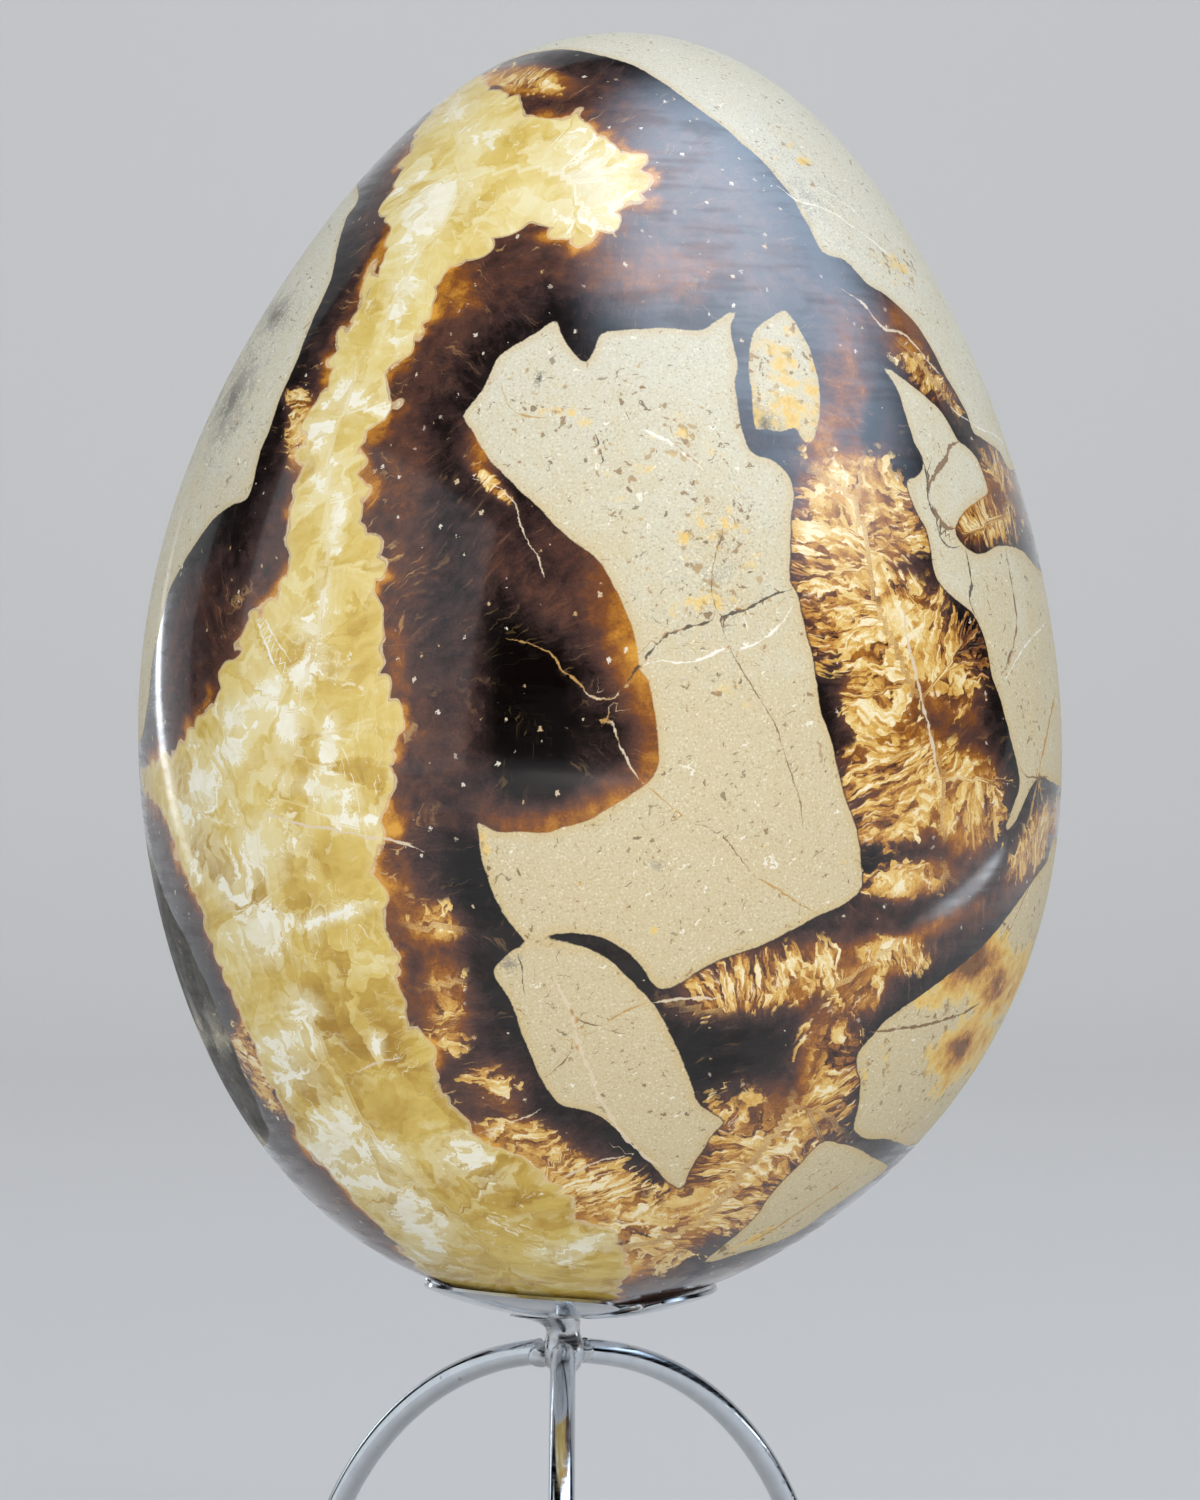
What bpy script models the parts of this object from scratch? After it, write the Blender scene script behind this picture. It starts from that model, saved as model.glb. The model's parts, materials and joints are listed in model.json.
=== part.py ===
"""A polished septarian nodule on its wire stand.

The stone is one solid: a hand-ground egg, a little lopsided, with a small flat spot under it.
The stand is polished steel: a short post, three bent rods for legs, and three thin petals that
cup the stone. Metres, +Z up, origin on the floor below the middle of the stone.
"""

import bmesh
import bpy
from math import cos, pi, radians, sin
from mathutils import Matrix, Vector
from mathutils.bvhtree import BVHTree

MM = 0.001

# Stone
EGG_HEIGHT = 150.0 * MM
EGG_RADIUS = 53.8 * MM
EGG_LEAN = radians(2.96)
EGG_CENTRE_Z = 122.0 * MM
TAPER = (-0.1335, -0.0865, -0.0082, 0.0388, 0.0529)
LOPSIDE = (-0.0458, 0.0452, 0.0924, -0.0926)
EGG_RINGS = 44
EGG_SEGMENTS = 72
FLAT_SPOT_Z = 47.9 * MM

# Stand
FIT_GAP = 0.3 * MM
STAND_X = -4.3 * MM
ROD_RADIUS = 1.5 * MM
LEG_TOP_Z = 42.0 * MM
LEG_START = 2.9 * MM
LEGS = {"leg_front": (-90.0, 36.0 * MM), "leg_left": (155.0, 34.5 * MM), "leg_right": (35.0, 37.5 * MM)}
LEG_STEPS = 18
FOOT_STRAIGHT = 2.0 * MM

PETAL_THICKNESS = 0.8 * MM
PETAL_ROOT = 4.3 * MM
PETAL_REACH = 17.8 * MM
PETAL_HALF_ANGLE = 56.0
PETAL_SWIRL = 32.0
PETALS = {"petal_front": -118.0, "petal_right": 2.0, "petal_back": 122.0}
PETAL_ROWS = 8
PETAL_COLUMNS = 14

POST_SIDES = 24
# Height above the floor, radius, and sideways shift of each ring of the post, in millimetres
POST_RINGS = (
    (39.3, 0.7, 0.1),
    (39.9, 1.6, 0.1),
    (40.8, 2.3, 0.0),
    (42.0, 2.6, 0.0),
    (43.2, 2.4, 0.0),
    (44.2, 2.05, 0.0),
    (45.0, 2.15, -0.1),
    (45.8, 2.9, -0.9),
    (46.4, 4.1, -2.4),
    (46.5, 3.9, 0.0),
    (47.6, 3.9, 0.0),
)

STONE_COLOUR = (0.42, 0.33, 0.17, 1.0)
STEEL_COLOUR = (0.74, 0.76, 0.79, 1.0)


def clear_scene():
    for thing in list(bpy.data.objects):
        bpy.data.objects.remove(thing, do_unlink=True)


def material(name, colour, roughness, metallic):
    made = bpy.data.materials.new(name)
    made.use_nodes = True
    shader = made.node_tree.nodes["Principled BSDF"]
    shader.inputs["Base Color"].default_value = colour
    shader.inputs["Roughness"].default_value = roughness
    shader.inputs["Metallic"].default_value = metallic
    return made


def add_object(name, data, finish):
    thing = bpy.data.objects.new(name, data)
    thing.data.materials.append(finish)
    bpy.context.scene.collection.objects.link(thing)
    return thing


def mesh_from(bm, name):
    bmesh.ops.recalc_face_normals(bm, faces=bm.faces)
    mesh = bpy.data.meshes.new(name)
    bm.to_mesh(mesh)
    mesh.shade_smooth()
    mesh.set_sharp_from_angle(angle=radians(40))
    return mesh


def bridge_rings(bm, rings):
    """Quads between neighbouring closed rings of vertices, and a cap on each end."""
    for low, high in zip(rings, rings[1:]):
        count = len(low)
        for i in range(count):
            j = (i + 1) % count
            bm.faces.new((low[i], low[j], high[j], high[i]))
    bm.faces.new(list(reversed(rings[0])))
    bm.faces.new(rings[-1])


def egg_point(t, turn):
    """A point of the stone: t runs from -1 at its blunt end to 1 at its tip, turn goes round it."""
    round_off = max(0.0, 1.0 - t * t) ** 0.5
    taper = 1.0 + sum(c * t ** (i + 1) for i, c in enumerate(TAPER))
    lopside = sum(c * t ** (i + 1) for i, c in enumerate(LOPSIDE))
    radius = EGG_RADIUS * round_off * (taper + lopside * cos(turn))
    return Vector((radius * cos(turn), radius * sin(turn), t * EGG_HEIGHT / 2))


def stone_bmesh():
    """The egg, leaned over, centred sideways on the origin, with its flat spot ground off."""
    bm = bmesh.new()
    rings = []
    for i in range(1, EGG_RINGS):
        t = -cos(pi * i / EGG_RINGS)
        turns = [2 * pi * j / EGG_SEGMENTS for j in range(EGG_SEGMENTS)]
        rings.append([bm.verts.new(egg_point(t, turn)) for turn in turns])
    for low, high in zip(rings, rings[1:]):
        for i in range(EGG_SEGMENTS):
            j = (i + 1) % EGG_SEGMENTS
            bm.faces.new((low[i], low[j], high[j], high[i]))
    for ring, t in ((rings[0], -1.0), (rings[-1], 1.0)):
        tip = bm.verts.new(egg_point(t, 0.0))
        for i in range(EGG_SEGMENTS):
            bm.faces.new((ring[i], ring[(i + 1) % EGG_SEGMENTS], tip))
    bmesh.ops.recalc_face_normals(bm, faces=bm.faces)
    bm.transform(Matrix.Translation((0, 0, EGG_CENTRE_Z)) @ Matrix.Rotation(EGG_LEAN, 4, "Y"))
    for axis in (0, 1):
        places = [v.co[axis] for v in bm.verts]
        middle = (min(places) + max(places)) / 2
        for v in bm.verts:
            v.co[axis] -= middle
    grind_flat(bm)
    return bm


def grind_flat(bm):
    cut = bmesh.ops.bisect_plane(
        bm,
        geom=bm.verts[:] + bm.edges[:] + bm.faces[:],
        plane_co=(0, 0, FLAT_SPOT_Z),
        plane_no=(0, 0, -1),
        clear_outer=True,
    )
    rim = [e for e in cut["geom_cut"] if isinstance(e, bmesh.types.BMEdge)]
    bmesh.ops.contextual_create(bm, geom=rim)
    bmesh.ops.remove_doubles(bm, verts=bm.verts, dist=0.02 * MM)


def make_stone(finish):
    """The stone's object, and a search tree that the petals are fitted with."""
    bm = stone_bmesh()
    tree = BVHTree.FromBMesh(bm)
    stone = add_object("stone_egg", mesh_from(bm, "stone_egg"), finish)
    bm.free()
    return stone, tree


def leg_path(reach):
    """A quarter ellipse from the post out and down, ending in a short upright foot: (outward, up)."""
    drop = LEG_TOP_Z - FOOT_STRAIGHT
    points = [(LEG_START, LEG_TOP_Z)]
    start = LEG_START / reach
    for i in range(1, LEG_STEPS + 1):
        angle = pi / 2 * (start + (1 - start) * i / LEG_STEPS)
        points.append((reach * sin(angle), FOOT_STRAIGHT + drop * cos(angle)))
    points.append((reach, 0.0))
    return points


def make_leg(name, azimuth, reach, finish):
    curve = bpy.data.curves.new(name, "CURVE")
    curve.dimensions = "3D"
    curve.bevel_depth = ROD_RADIUS
    curve.bevel_resolution = 3
    curve.use_fill_caps = True
    path = leg_path(reach)
    spline = curve.splines.new("POLY")
    spline.points.add(len(path) - 1)
    for point, (out, up) in zip(spline.points, path):
        point.co = (out, 0.0, up, 1.0)
    leg = add_object(name, curve, finish)
    leg.location = (STAND_X, 0, 0)
    leg.rotation_euler = (0, 0, radians(azimuth))
    return leg


def petal_reach(share):
    """How far the petal's rim is from the post, for share -1 to 1 across the petal."""
    return PETAL_REACH * (1 - 0.06 * share**2 - 0.16 * share**8)


def petal_point(tree, azimuth, row, column):
    """Where the petal's inner face lies just under the stone, and the stone's outward normal."""
    share = 2 * column / PETAL_COLUMNS - 1
    along = row / PETAL_ROWS
    distance = PETAL_ROOT + (petal_reach(share) - PETAL_ROOT) * along
    turn = radians(azimuth + share * PETAL_HALF_ANGLE - PETAL_SWIRL * (1 - along))
    foot = Vector((STAND_X + distance * cos(turn), distance * sin(turn), 0))
    hit, normal, _, _ = tree.ray_cast(foot, Vector((0, 0, 1)))
    return hit + normal * FIT_GAP, normal


def make_petal(name, azimuth, tree, finish):
    """A thin sheet that follows the stone: an inner grid, an outer grid and the rim between them."""
    bm = bmesh.new()
    grids = ([], [])
    for row in range(PETAL_ROWS + 1):
        inner, outer = [], []
        for column in range(PETAL_COLUMNS + 1):
            place, normal = petal_point(tree, azimuth, row, column)
            inner.append(bm.verts.new(place))
            outer.append(bm.verts.new(place + normal * PETAL_THICKNESS))
        grids[0].append(inner)
        grids[1].append(outer)
    for grid in grids:
        for a, b in zip(grid, grid[1:]):
            for i in range(PETAL_COLUMNS):
                bm.faces.new((a[i], a[i + 1], b[i + 1], b[i]))
    loops = [rim_loop(grid) for grid in grids]
    for i in range(len(loops[0])):
        j = (i + 1) % len(loops[0])
        bm.faces.new((loops[0][i], loops[0][j], loops[1][j], loops[1][i]))
    petal = add_object(name, mesh_from(bm, name), finish)
    bm.free()
    return petal


def rim_loop(grid):
    left = [row[0] for row in grid[1:-1]]
    right = [row[-1] for row in grid[1:-1]]
    return grid[0] + right + list(reversed(grid[-1])) + list(reversed(left))


def make_post(finish):
    bm = bmesh.new()
    rings = []
    for height, radius, shift in POST_RINGS:
        turns = [2 * pi * i / POST_SIDES for i in range(POST_SIDES)]
        places = [(radius * cos(a) + shift, radius * sin(a), height) for a in turns]
        rings.append([bm.verts.new(Vector(p) * MM + Vector((STAND_X, 0, 0))) for p in places])
    bridge_rings(bm, rings)
    post = add_object("stand_post", mesh_from(bm, "stand_post"), finish)
    bm.free()
    return post


def main():
    clear_scene()
    stone_finish = material("polished_septarian_stone", STONE_COLOUR, 0.15, 0.0)
    steel = material("polished_steel", STEEL_COLOUR, 0.12, 1.0)
    _, tree = make_stone(stone_finish)
    make_post(steel)
    for name, (azimuth, reach) in LEGS.items():
        make_leg(name, azimuth, reach, steel)
    for name, azimuth in PETALS.items():
        make_petal(name, azimuth, tree, steel)


main()
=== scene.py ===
"""A polished septarian nodule, ground to an egg, on its wire stand.

The stone's skin is one fine mesh. Its clasts, aragonite and calcite are drawn as outlines on the
photograph and on the view from behind, and carried into the materials as distances over the skin.
"""

import json
import logging
from dataclasses import dataclass, field, replace
from enum import Enum
from math import cos, pi, radians, sin

import bmesh
import bpy
import numpy as np
from mathutils import Matrix, Vector
from mathutils.bvhtree import BVHTree
from mathutils.kdtree import KDTree

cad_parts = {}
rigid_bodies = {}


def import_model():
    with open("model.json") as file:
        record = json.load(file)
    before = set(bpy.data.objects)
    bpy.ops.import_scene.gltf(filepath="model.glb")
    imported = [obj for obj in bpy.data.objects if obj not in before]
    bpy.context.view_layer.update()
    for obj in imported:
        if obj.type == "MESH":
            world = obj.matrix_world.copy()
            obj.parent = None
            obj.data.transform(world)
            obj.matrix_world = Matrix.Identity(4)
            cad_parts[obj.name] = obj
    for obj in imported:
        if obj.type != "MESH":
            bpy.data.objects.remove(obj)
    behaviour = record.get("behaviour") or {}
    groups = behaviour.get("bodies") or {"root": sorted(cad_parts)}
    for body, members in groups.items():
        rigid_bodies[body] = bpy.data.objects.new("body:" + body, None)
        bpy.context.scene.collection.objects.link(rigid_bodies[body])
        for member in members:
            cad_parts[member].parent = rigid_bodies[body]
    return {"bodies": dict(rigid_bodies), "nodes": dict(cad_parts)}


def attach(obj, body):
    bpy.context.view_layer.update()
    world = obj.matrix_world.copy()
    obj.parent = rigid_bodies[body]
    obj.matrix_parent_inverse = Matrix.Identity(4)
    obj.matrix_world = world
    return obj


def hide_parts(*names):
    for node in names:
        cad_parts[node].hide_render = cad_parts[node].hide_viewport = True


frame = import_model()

LOG = logging.getLogger("septarian_nodule")
MM = 0.001
PICTURE_WIDTH = 1200.0
PICTURE_HEIGHT = 1500.0
STONE_REACH_MM = 58.0
PATH_STEP_MM = 0.35
STAND_X = -4.3 * MM
Pixel = tuple[float, float]
Colour = tuple[float, float, float, float]
Socket = bpy.types.NodeSocket
Sockets = bpy.types.bpy_prop_collection


class View(Enum):
    """The side of the stone that an outline or a patch is drawn on."""

    FRONT = 1.0
    BACK = -1.0


class Lode(Enum):
    """What a hairline in the stone is filled with, as the position on the hairline colour ramp."""

    WHITE = 0.0
    CREAM = 0.25
    OCHRE = 0.5
    BROWN = 0.75
    DARK = 1.0


@dataclass(frozen=True)
class PhotoCamera:
    """The photograph's camera: level, in front of the stone, looking along +Y."""

    distance: float = 0.550
    height: float = 0.1128
    focal_pixels: float = 4675.86

    def pixels(self, places: np.ndarray, view: View) -> np.ndarray:
        """Where places fall on the photograph, or on the same view taken from behind.

        Args:
            places: Points in metres, one per row.
            view: The side that they are looked at from.

        Returns:
            One pixel position per row.
        """
        depth = self.distance + places[:, 1] * view.value
        u = PICTURE_WIDTH / 2 + self.focal_pixels * places[:, 0] * view.value / depth
        v = PICTURE_HEIGHT / 2 - self.focal_pixels * (places[:, 2] - self.height) / depth
        return np.stack([u, v], axis=1)

    def rays(self, pixels: np.ndarray, view: View) -> tuple[np.ndarray, np.ndarray]:
        """The line of sight through each pixel.

        Args:
            pixels: One pixel position per row.
            view: The side that is looked at.

        Returns:
            The camera's place, and one direction per pixel with a length of 1 along the view's axis.
        """
        across = (pixels[:, 0] - PICTURE_WIDTH / 2) / self.focal_pixels * view.value
        up = (PICTURE_HEIGHT / 2 - pixels[:, 1]) / self.focal_pixels
        ahead = np.full(len(pixels), view.value)
        origin = np.array([0.0, -self.distance * view.value, self.height])
        return origin, np.stack([across, ahead, up], axis=1)

    def build(self) -> None:
        """Makes the scene's camera."""
        data = bpy.data.cameras.new("photo_camera")
        data.sensor_width = 36.0
        data.lens = self.focal_pixels * data.sensor_width / PICTURE_HEIGHT
        data.clip_start = 0.01
        data.clip_end = 20.0
        camera = bpy.data.objects.new("photo_camera", data)
        camera.location = (0.0, -self.distance, self.height)
        camera.rotation_euler = (radians(90.0), 0.0, 0.0)
        bpy.context.scene.collection.objects.link(camera)
        bpy.context.scene.camera = camera


@dataclass(frozen=True)
class NoduleForm:
    """The ground egg: a lopsided oval turned about a leaning axis, with a flat spot under it."""

    tall: float = 150.0 * MM
    radius: float = 53.8 * MM
    lean: float = radians(2.96)
    centre: tuple[float, float, float] = (0.1425 * MM, 0.0, 122.0 * MM)
    taper: tuple[float, ...] = (-0.1335, -0.0865, -0.0082, 0.0388, 0.0529)
    lopside: tuple[float, ...] = (-0.0458, 0.0452, 0.0924, -0.0926)
    flat_spot: float = 47.9 * MM
    polish: float = 0.05 * MM

    def beyond(self, places: np.ndarray) -> np.ndarray:
        """How far each place is outside the egg, measured sideways from its axis.

        Args:
            places: Points in metres, with x, y and z on the last axis.

        Returns:
            Metres outside the egg, negative within it.
        """
        local = places - np.array(self.centre)
        x = local[..., 0] * cos(self.lean) - local[..., 2] * sin(self.lean)
        z = local[..., 0] * sin(self.lean) + local[..., 2] * cos(self.lean)
        y = local[..., 1]
        t = z / (self.tall / 2)
        inside = np.clip(t, -1.0, 1.0)
        from_axis = np.hypot(x, y)
        toward_x = x / np.maximum(from_axis, 1e-9)
        taper = 1.0 + sum(c * inside ** (i + 1) for i, c in enumerate(self.taper))
        lopside = sum(c * inside ** (i + 1) for i, c in enumerate(self.lopside))
        reach = self.radius * np.sqrt(1.0 - inside**2) * (taper + lopside * toward_x)
        return from_axis - reach + np.maximum(np.abs(t) - 1.0, 0.0) * self.tall / 2

    def skin(self, directions: np.ndarray) -> np.ndarray:
        """The polished skin's place in each direction from the stone's centre.

        Args:
            directions: Unit vectors, one per row.

        Returns:
            Points in metres, one per row.
        """
        low = np.full(len(directions), 0.02)
        high = np.full(len(directions), 0.09)
        for _ in range(36):
            half = (low + high) / 2
            out = self.beyond(np.array(self.centre) + directions * half[:, None]) > 0.0
            high = np.where(out, half, high)
            low = np.where(out, low, half)
        reach = low - self.polish
        down = np.minimum(directions[:, 2], -1e-6)
        to_flat = (self.flat_spot + self.polish - self.centre[2]) / down
        reach = np.minimum(reach, to_flat)
        return np.array(self.centre) + directions * reach[:, None]

    def seen(self, camera: PhotoCamera, pixels: np.ndarray, view: View) -> np.ndarray:
        """The directions from the stone's centre of what shows at each pixel.

        Args:
            camera: The photograph's camera.
            pixels: One pixel position per row; one off the stone takes its nearest edge.
            view: The side that is looked at.

        Returns:
            Unit vectors, one per row.
        """
        origin, rays = camera.rays(pixels, view)
        steps = np.linspace(camera.distance - 0.08, camera.distance + 0.04, 241)
        places = origin + rays[:, None, :] * steps[None, :, None]
        depth = self.beyond(places)
        hit = depth < 0.0
        first = np.where(hit.any(axis=1), hit.argmax(axis=1), depth.argmin(axis=1))
        far = steps[first]
        near = steps[np.maximum(first - 1, 0)]
        for _ in range(24):
            half = (near + far) / 2
            out = self.beyond(origin + rays * half[:, None]) > 0.0
            near = np.where(out, half, near)
            far = np.where(out, far, half)
        found = origin + rays * far[:, None] - np.array(self.centre)
        return found / np.linalg.norm(found, axis=1)[:, None]


@dataclass(frozen=True)
class Outline:
    """A closed shape on the skin: its points on the photograph, then those on the view from behind."""

    front: tuple[Pixel, ...] = ()
    back: tuple[Pixel, ...] = ()

    def corners(self, form: NoduleForm, camera: PhotoCamera) -> np.ndarray:
        """The outline's own points on the stone.

        Args:
            form: The stone's shape.
            camera: The photograph's camera.

        Returns:
            Unit vectors from the stone's centre, one per row.
        """
        runs = []
        for points, view in ((self.front, View.FRONT), (self.back, View.BACK)):
            if points:
                runs.append(form.seen(camera, np.array(points, float), view))
        return np.concatenate(runs)


@dataclass(frozen=True)
class Hairline:
    """A thin crack in the stone, filled with one mineral: half its width in millimetres, and points."""

    lode: Lode
    half_width: float
    points: tuple[Pixel, ...]
    view: View = View.FRONT


@dataclass(frozen=True)
class Patch:
    """An oval area of the skin, in pixels of its view, where a look grows or fades."""

    u: float
    v: float
    wide: float
    tall: float
    turn: float = 0.0
    level: float = 1.0
    view: View = View.FRONT


def ovals(*rows: tuple[float, ...], view: View = View.FRONT) -> tuple[Patch, ...]:
    """Makes patches from their numbers.

    Args:
        *rows: Each patch's u, v, width, height and, where it needs them, turn and level.
        view: The side that they are drawn on.

    Returns:
        The patches.
    """
    return tuple(Patch(*row, view=view) for row in rows)


def round_the_edge(front: tuple[Patch, ...]) -> tuple[Patch, ...]:
    """Carries patches at the stone's edge on past it, as mirror images on the view from behind.

    Args:
        front: Patches of the front view.

    Returns:
        The patches and their mirror images.
    """
    return front + tuple(replace(p, u=PICTURE_WIDTH - p.u, turn=-p.turn, view=View.BACK) for p in front)


def smooth_path(corners: np.ndarray, closed: bool) -> np.ndarray:
    """Rounds a run of directions into a smooth path over the stone.

    Args:
        corners: Unit vectors, one per row; a point given twice stays sharp.
        closed: Whether the last point joins the first.

    Returns:
        Unit vectors along the path, one per row.
    """
    count = len(corners)
    runs = []
    for i in range(count if closed else count - 1):
        if closed:
            a, b, c, d = (corners[(i + k) % count] for k in (-1, 0, 1, 2))
        else:
            a, b, c, d = (corners[min(max(i + k, 0), count - 1)] for k in (-1, 0, 1, 2))
        length = float(np.linalg.norm(c - b)) * STONE_REACH_MM
        pieces = max(1, round(length / PATH_STEP_MM))
        t = (np.arange(pieces) / pieces)[:, None]
        curve = b + 0.5 * t * (c - a + t * (2 * a - 5 * b + 4 * c - d + t * (3 * (b - c) + d - a)))
        runs.append(curve)
    if not closed:
        runs.append(corners[-1:])
    path = np.concatenate(runs)
    return path / np.linalg.norm(path, axis=1)[:, None]


def chart(directions: np.ndarray, middle: np.ndarray) -> np.ndarray:
    """Flattens directions onto a plane that touches at middle, keeping their angle from it.

    Args:
        directions: Unit vectors, one per row.
        middle: The unit vector that the plane touches.

    Returns:
        Two coordinates per row, in radians from the middle.
    """
    side = np.cross(middle, (0.3, 0.1, 1.0))
    side /= np.linalg.norm(side)
    top = np.cross(side, middle)
    away = np.arccos(np.clip(directions @ middle, -1.0, 1.0))
    flat = np.stack([directions @ side, directions @ top], axis=1)
    length = np.maximum(np.linalg.norm(flat, axis=1), 1e-12)
    return flat * (away / length)[:, None]


def enclosed(directions: np.ndarray, path: np.ndarray) -> np.ndarray:
    """Which directions lie inside a closed path.

    Args:
        directions: Unit vectors, one per row.
        path: The path's unit vectors, one per row.

    Returns:
        True or False per row.
    """
    middle = path.mean(axis=0)
    middle /= np.linalg.norm(middle)
    edge = chart(path, middle)
    reach = np.linalg.norm(edge, axis=1).max()
    near = np.flatnonzero(np.arccos(np.clip(directions @ middle, -1.0, 1.0)) <= reach)
    spots = chart(directions[near], middle)
    inside = np.zeros(len(near), bool)
    for (x0, y0), (x1, y1) in zip(edge, np.roll(edge, -1, axis=0)):
        if y0 == y1:
            continue
        crosses = (spots[:, 1] > y0) != (spots[:, 1] > y1)
        at = x0 + (spots[:, 1] - y0) * (x1 - x0) / (y1 - y0)
        inside ^= crosses & (spots[:, 0] < at)
    found = np.zeros(len(directions), bool)
    found[near] = inside
    return found


class SkinMap:
    """Measures over the stone's skin, in millimetres, one value per vertex."""

    FAR = 1e6
    BETWEEN_OUTLINES = 517.0
    HAIRLINE_TIP = 2.5
    HAIRLINE_REACH = 1.6
    HAIRLINE_SAMPLE = 0.4
    HAIRLINE_END = 0.5
    LIMB_OVERLAP = 0.6
    HIDDEN = 9.0

    def __init__(self, form: NoduleForm, camera: PhotoCamera, directions: np.ndarray) -> None:
        """Keeps the vertices' directions and places.

        Args:
            form: The stone's shape.
            camera: The photograph's camera.
            directions: The vertices' unit vectors from the stone's centre.
        """
        self.form = form
        self.camera = camera
        self.directions = directions
        self.places = form.skin(directions) / MM

    def _nearest(self, points: np.ndarray) -> np.ndarray:
        """Finds the nearest point to each vertex.

        Args:
            points: Places in millimetres, one per row.

        Returns:
            The index of the nearest point per vertex.
        """
        tree = KDTree(len(points))
        for i, point in enumerate(points):
            tree.insert(point, i)
        tree.balance()
        return np.array([tree.find(place)[1] for place in self.places])

    @staticmethod
    def _to_segment(
        places: np.ndarray, start: np.ndarray, end: np.ndarray
    ) -> tuple[np.ndarray, np.ndarray]:
        """Measures each place against a segment of its own.

        Args:
            places: Points, one per row.
            start: Where each segment starts.
            end: Where each segment ends.

        Returns:
            How far each place is from its segment, and its share of the way along it.
        """
        run = end - start
        share = ((places - start) * run).sum(axis=1) / np.maximum((run**2).sum(axis=1), 1e-12)
        share = np.clip(share, 0.0, 1.0)
        away = np.linalg.norm(places - start - run * share[:, None], axis=1)
        return away, share

    def to_outlines(self, outlines: tuple[Outline, ...]) -> tuple[np.ndarray, np.ndarray]:
        """Signed distance to a set of closed outlines, and the place along the nearest one.

        Args:
            outlines: The closed shapes.

        Returns:
            Millimetres to the nearest edge, negative inside, and millimetres along that edge.
        """
        best = np.full(len(self.places), self.FAR)
        best_along = np.zeros(len(self.places))
        for number, outline in enumerate(outlines):
            path = smooth_path(outline.corners(self.form, self.camera), closed=True)
            line = self.form.skin(path) / MM
            near = self._nearest(line)
            steps = np.linalg.norm(line - np.roll(line, 1, axis=0), axis=1)
            steps[0] = 0.0
            back_gap, _ = self._to_segment(self.places, np.roll(line, 1, axis=0)[near], line[near])
            next_gap, share = self._to_segment(self.places, line[near], np.roll(line, -1, axis=0)[near])
            gap = np.minimum(back_gap, next_gap)
            gap = np.where(enclosed(self.directions, path), -gap, gap)
            along = np.cumsum(steps)[near] + share * PATH_STEP_MM + self.BETWEEN_OUTLINES * number
            best_along = np.where(gap < best, along, best_along)
            best = np.minimum(best, gap)
        return best, best_along

    def to_hairlines(self, hairlines: tuple[Hairline, ...]) -> dict[str, np.ndarray]:
        """Signed distance to the nearest hairline, with its half width and filling.

        Args:
            hairlines: The open lines.

        Returns:
            The fields crack, crack_width and crack_lode.
        """
        points, tangents, widths, lodes = [], [], [], []
        for line in hairlines:
            ends = self.form.seen(self.camera, np.array(line.points, float), line.view)
            path = self.form.skin(smooth_path(ends, closed=False)) / MM
            run = np.gradient(path, axis=0)
            length = np.cumsum(np.linalg.norm(run, axis=1))
            taper = np.clip(np.minimum(length, length[-1] - length) / self.HAIRLINE_TIP, 0.0, 1.0)
            points.append(path)
            tangents.append(run / np.linalg.norm(run, axis=1)[:, None])
            widths.append(line.half_width * taper)
            lodes.append(np.full(len(path), line.lode.value))
        points, tangents = map(np.concatenate, (points, tangents))
        widths, lodes = map(np.concatenate, (widths, lodes))
        near = self._nearest(points)
        offset = self.places - points[near]
        along = (offset * tangents[near]).sum(axis=1)
        across = offset - tangents[near] * along[:, None]
        side = np.einsum("ij,ij->i", np.cross(tangents[near], offset), self.directions)
        overrun = np.maximum(np.abs(along) - self.HAIRLINE_SAMPLE, 0.0)
        gap = np.hypot(np.linalg.norm(across, axis=1), overrun)
        beside = (gap < self.HAIRLINE_REACH) & (overrun < self.HAIRLINE_END)
        width = np.where(beside, widths[near], 0.0)
        return {
            "crack": np.where(side < 0.0, -gap, gap),
            "crack_width": width,
            "crack_lode": lodes[near],
        }

    def _ovals(self, patches: tuple[Patch, ...]) -> list[tuple[Patch, np.ndarray]]:
        """Measures how far every vertex is from the middle of each patch.

        Args:
            patches: The patches.

        Returns:
            Each patch with one distance per vertex, which is 1 on the patch's edge.
        """
        found = []
        for patch in patches:
            spots = self.camera.pixels(self.places * MM, patch.view)
            du, dv = spots[:, 0] - patch.u, spots[:, 1] - patch.v
            turn = radians(patch.turn)
            a = (du * cos(turn) + dv * sin(turn)) / patch.wide
            b = (dv * cos(turn) - du * sin(turn)) / patch.tall
            away = np.hypot(a, b)
            hidden = self.places[:, 1] * patch.view.value > self.LIMB_OVERLAP
            found.append((patch, np.where(hidden, self.HIDDEN, away)))
        return found

    def cover(self, patches: tuple[Patch, ...]) -> np.ndarray:
        """Measures how far inside the nearest patch each vertex is.

        Args:
            patches: The patches.

        Returns:
            The patch's level in its middle, 0 on its edge and less outside it, per vertex.
        """
        level = np.full(len(self.places), -1.0)
        for patch, away in self._ovals(patches):
            level = np.maximum(level, patch.level * (1.0 - away))
        return level

    def shift(self, patches: tuple[Patch, ...]) -> np.ndarray:
        """Adds up the patches' levels, each fading smoothly to nothing at its edge.

        Args:
            patches: The patches.

        Returns:
            The sum per vertex.
        """
        level = np.zeros(len(self.places))
        for patch, away in self._ovals(patches):
            fade = np.clip(1.0 - away, 0.0, 1.0)
            level += patch.level * fade * fade * (3.0 - 2.0 * fade)
        return level


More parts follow.
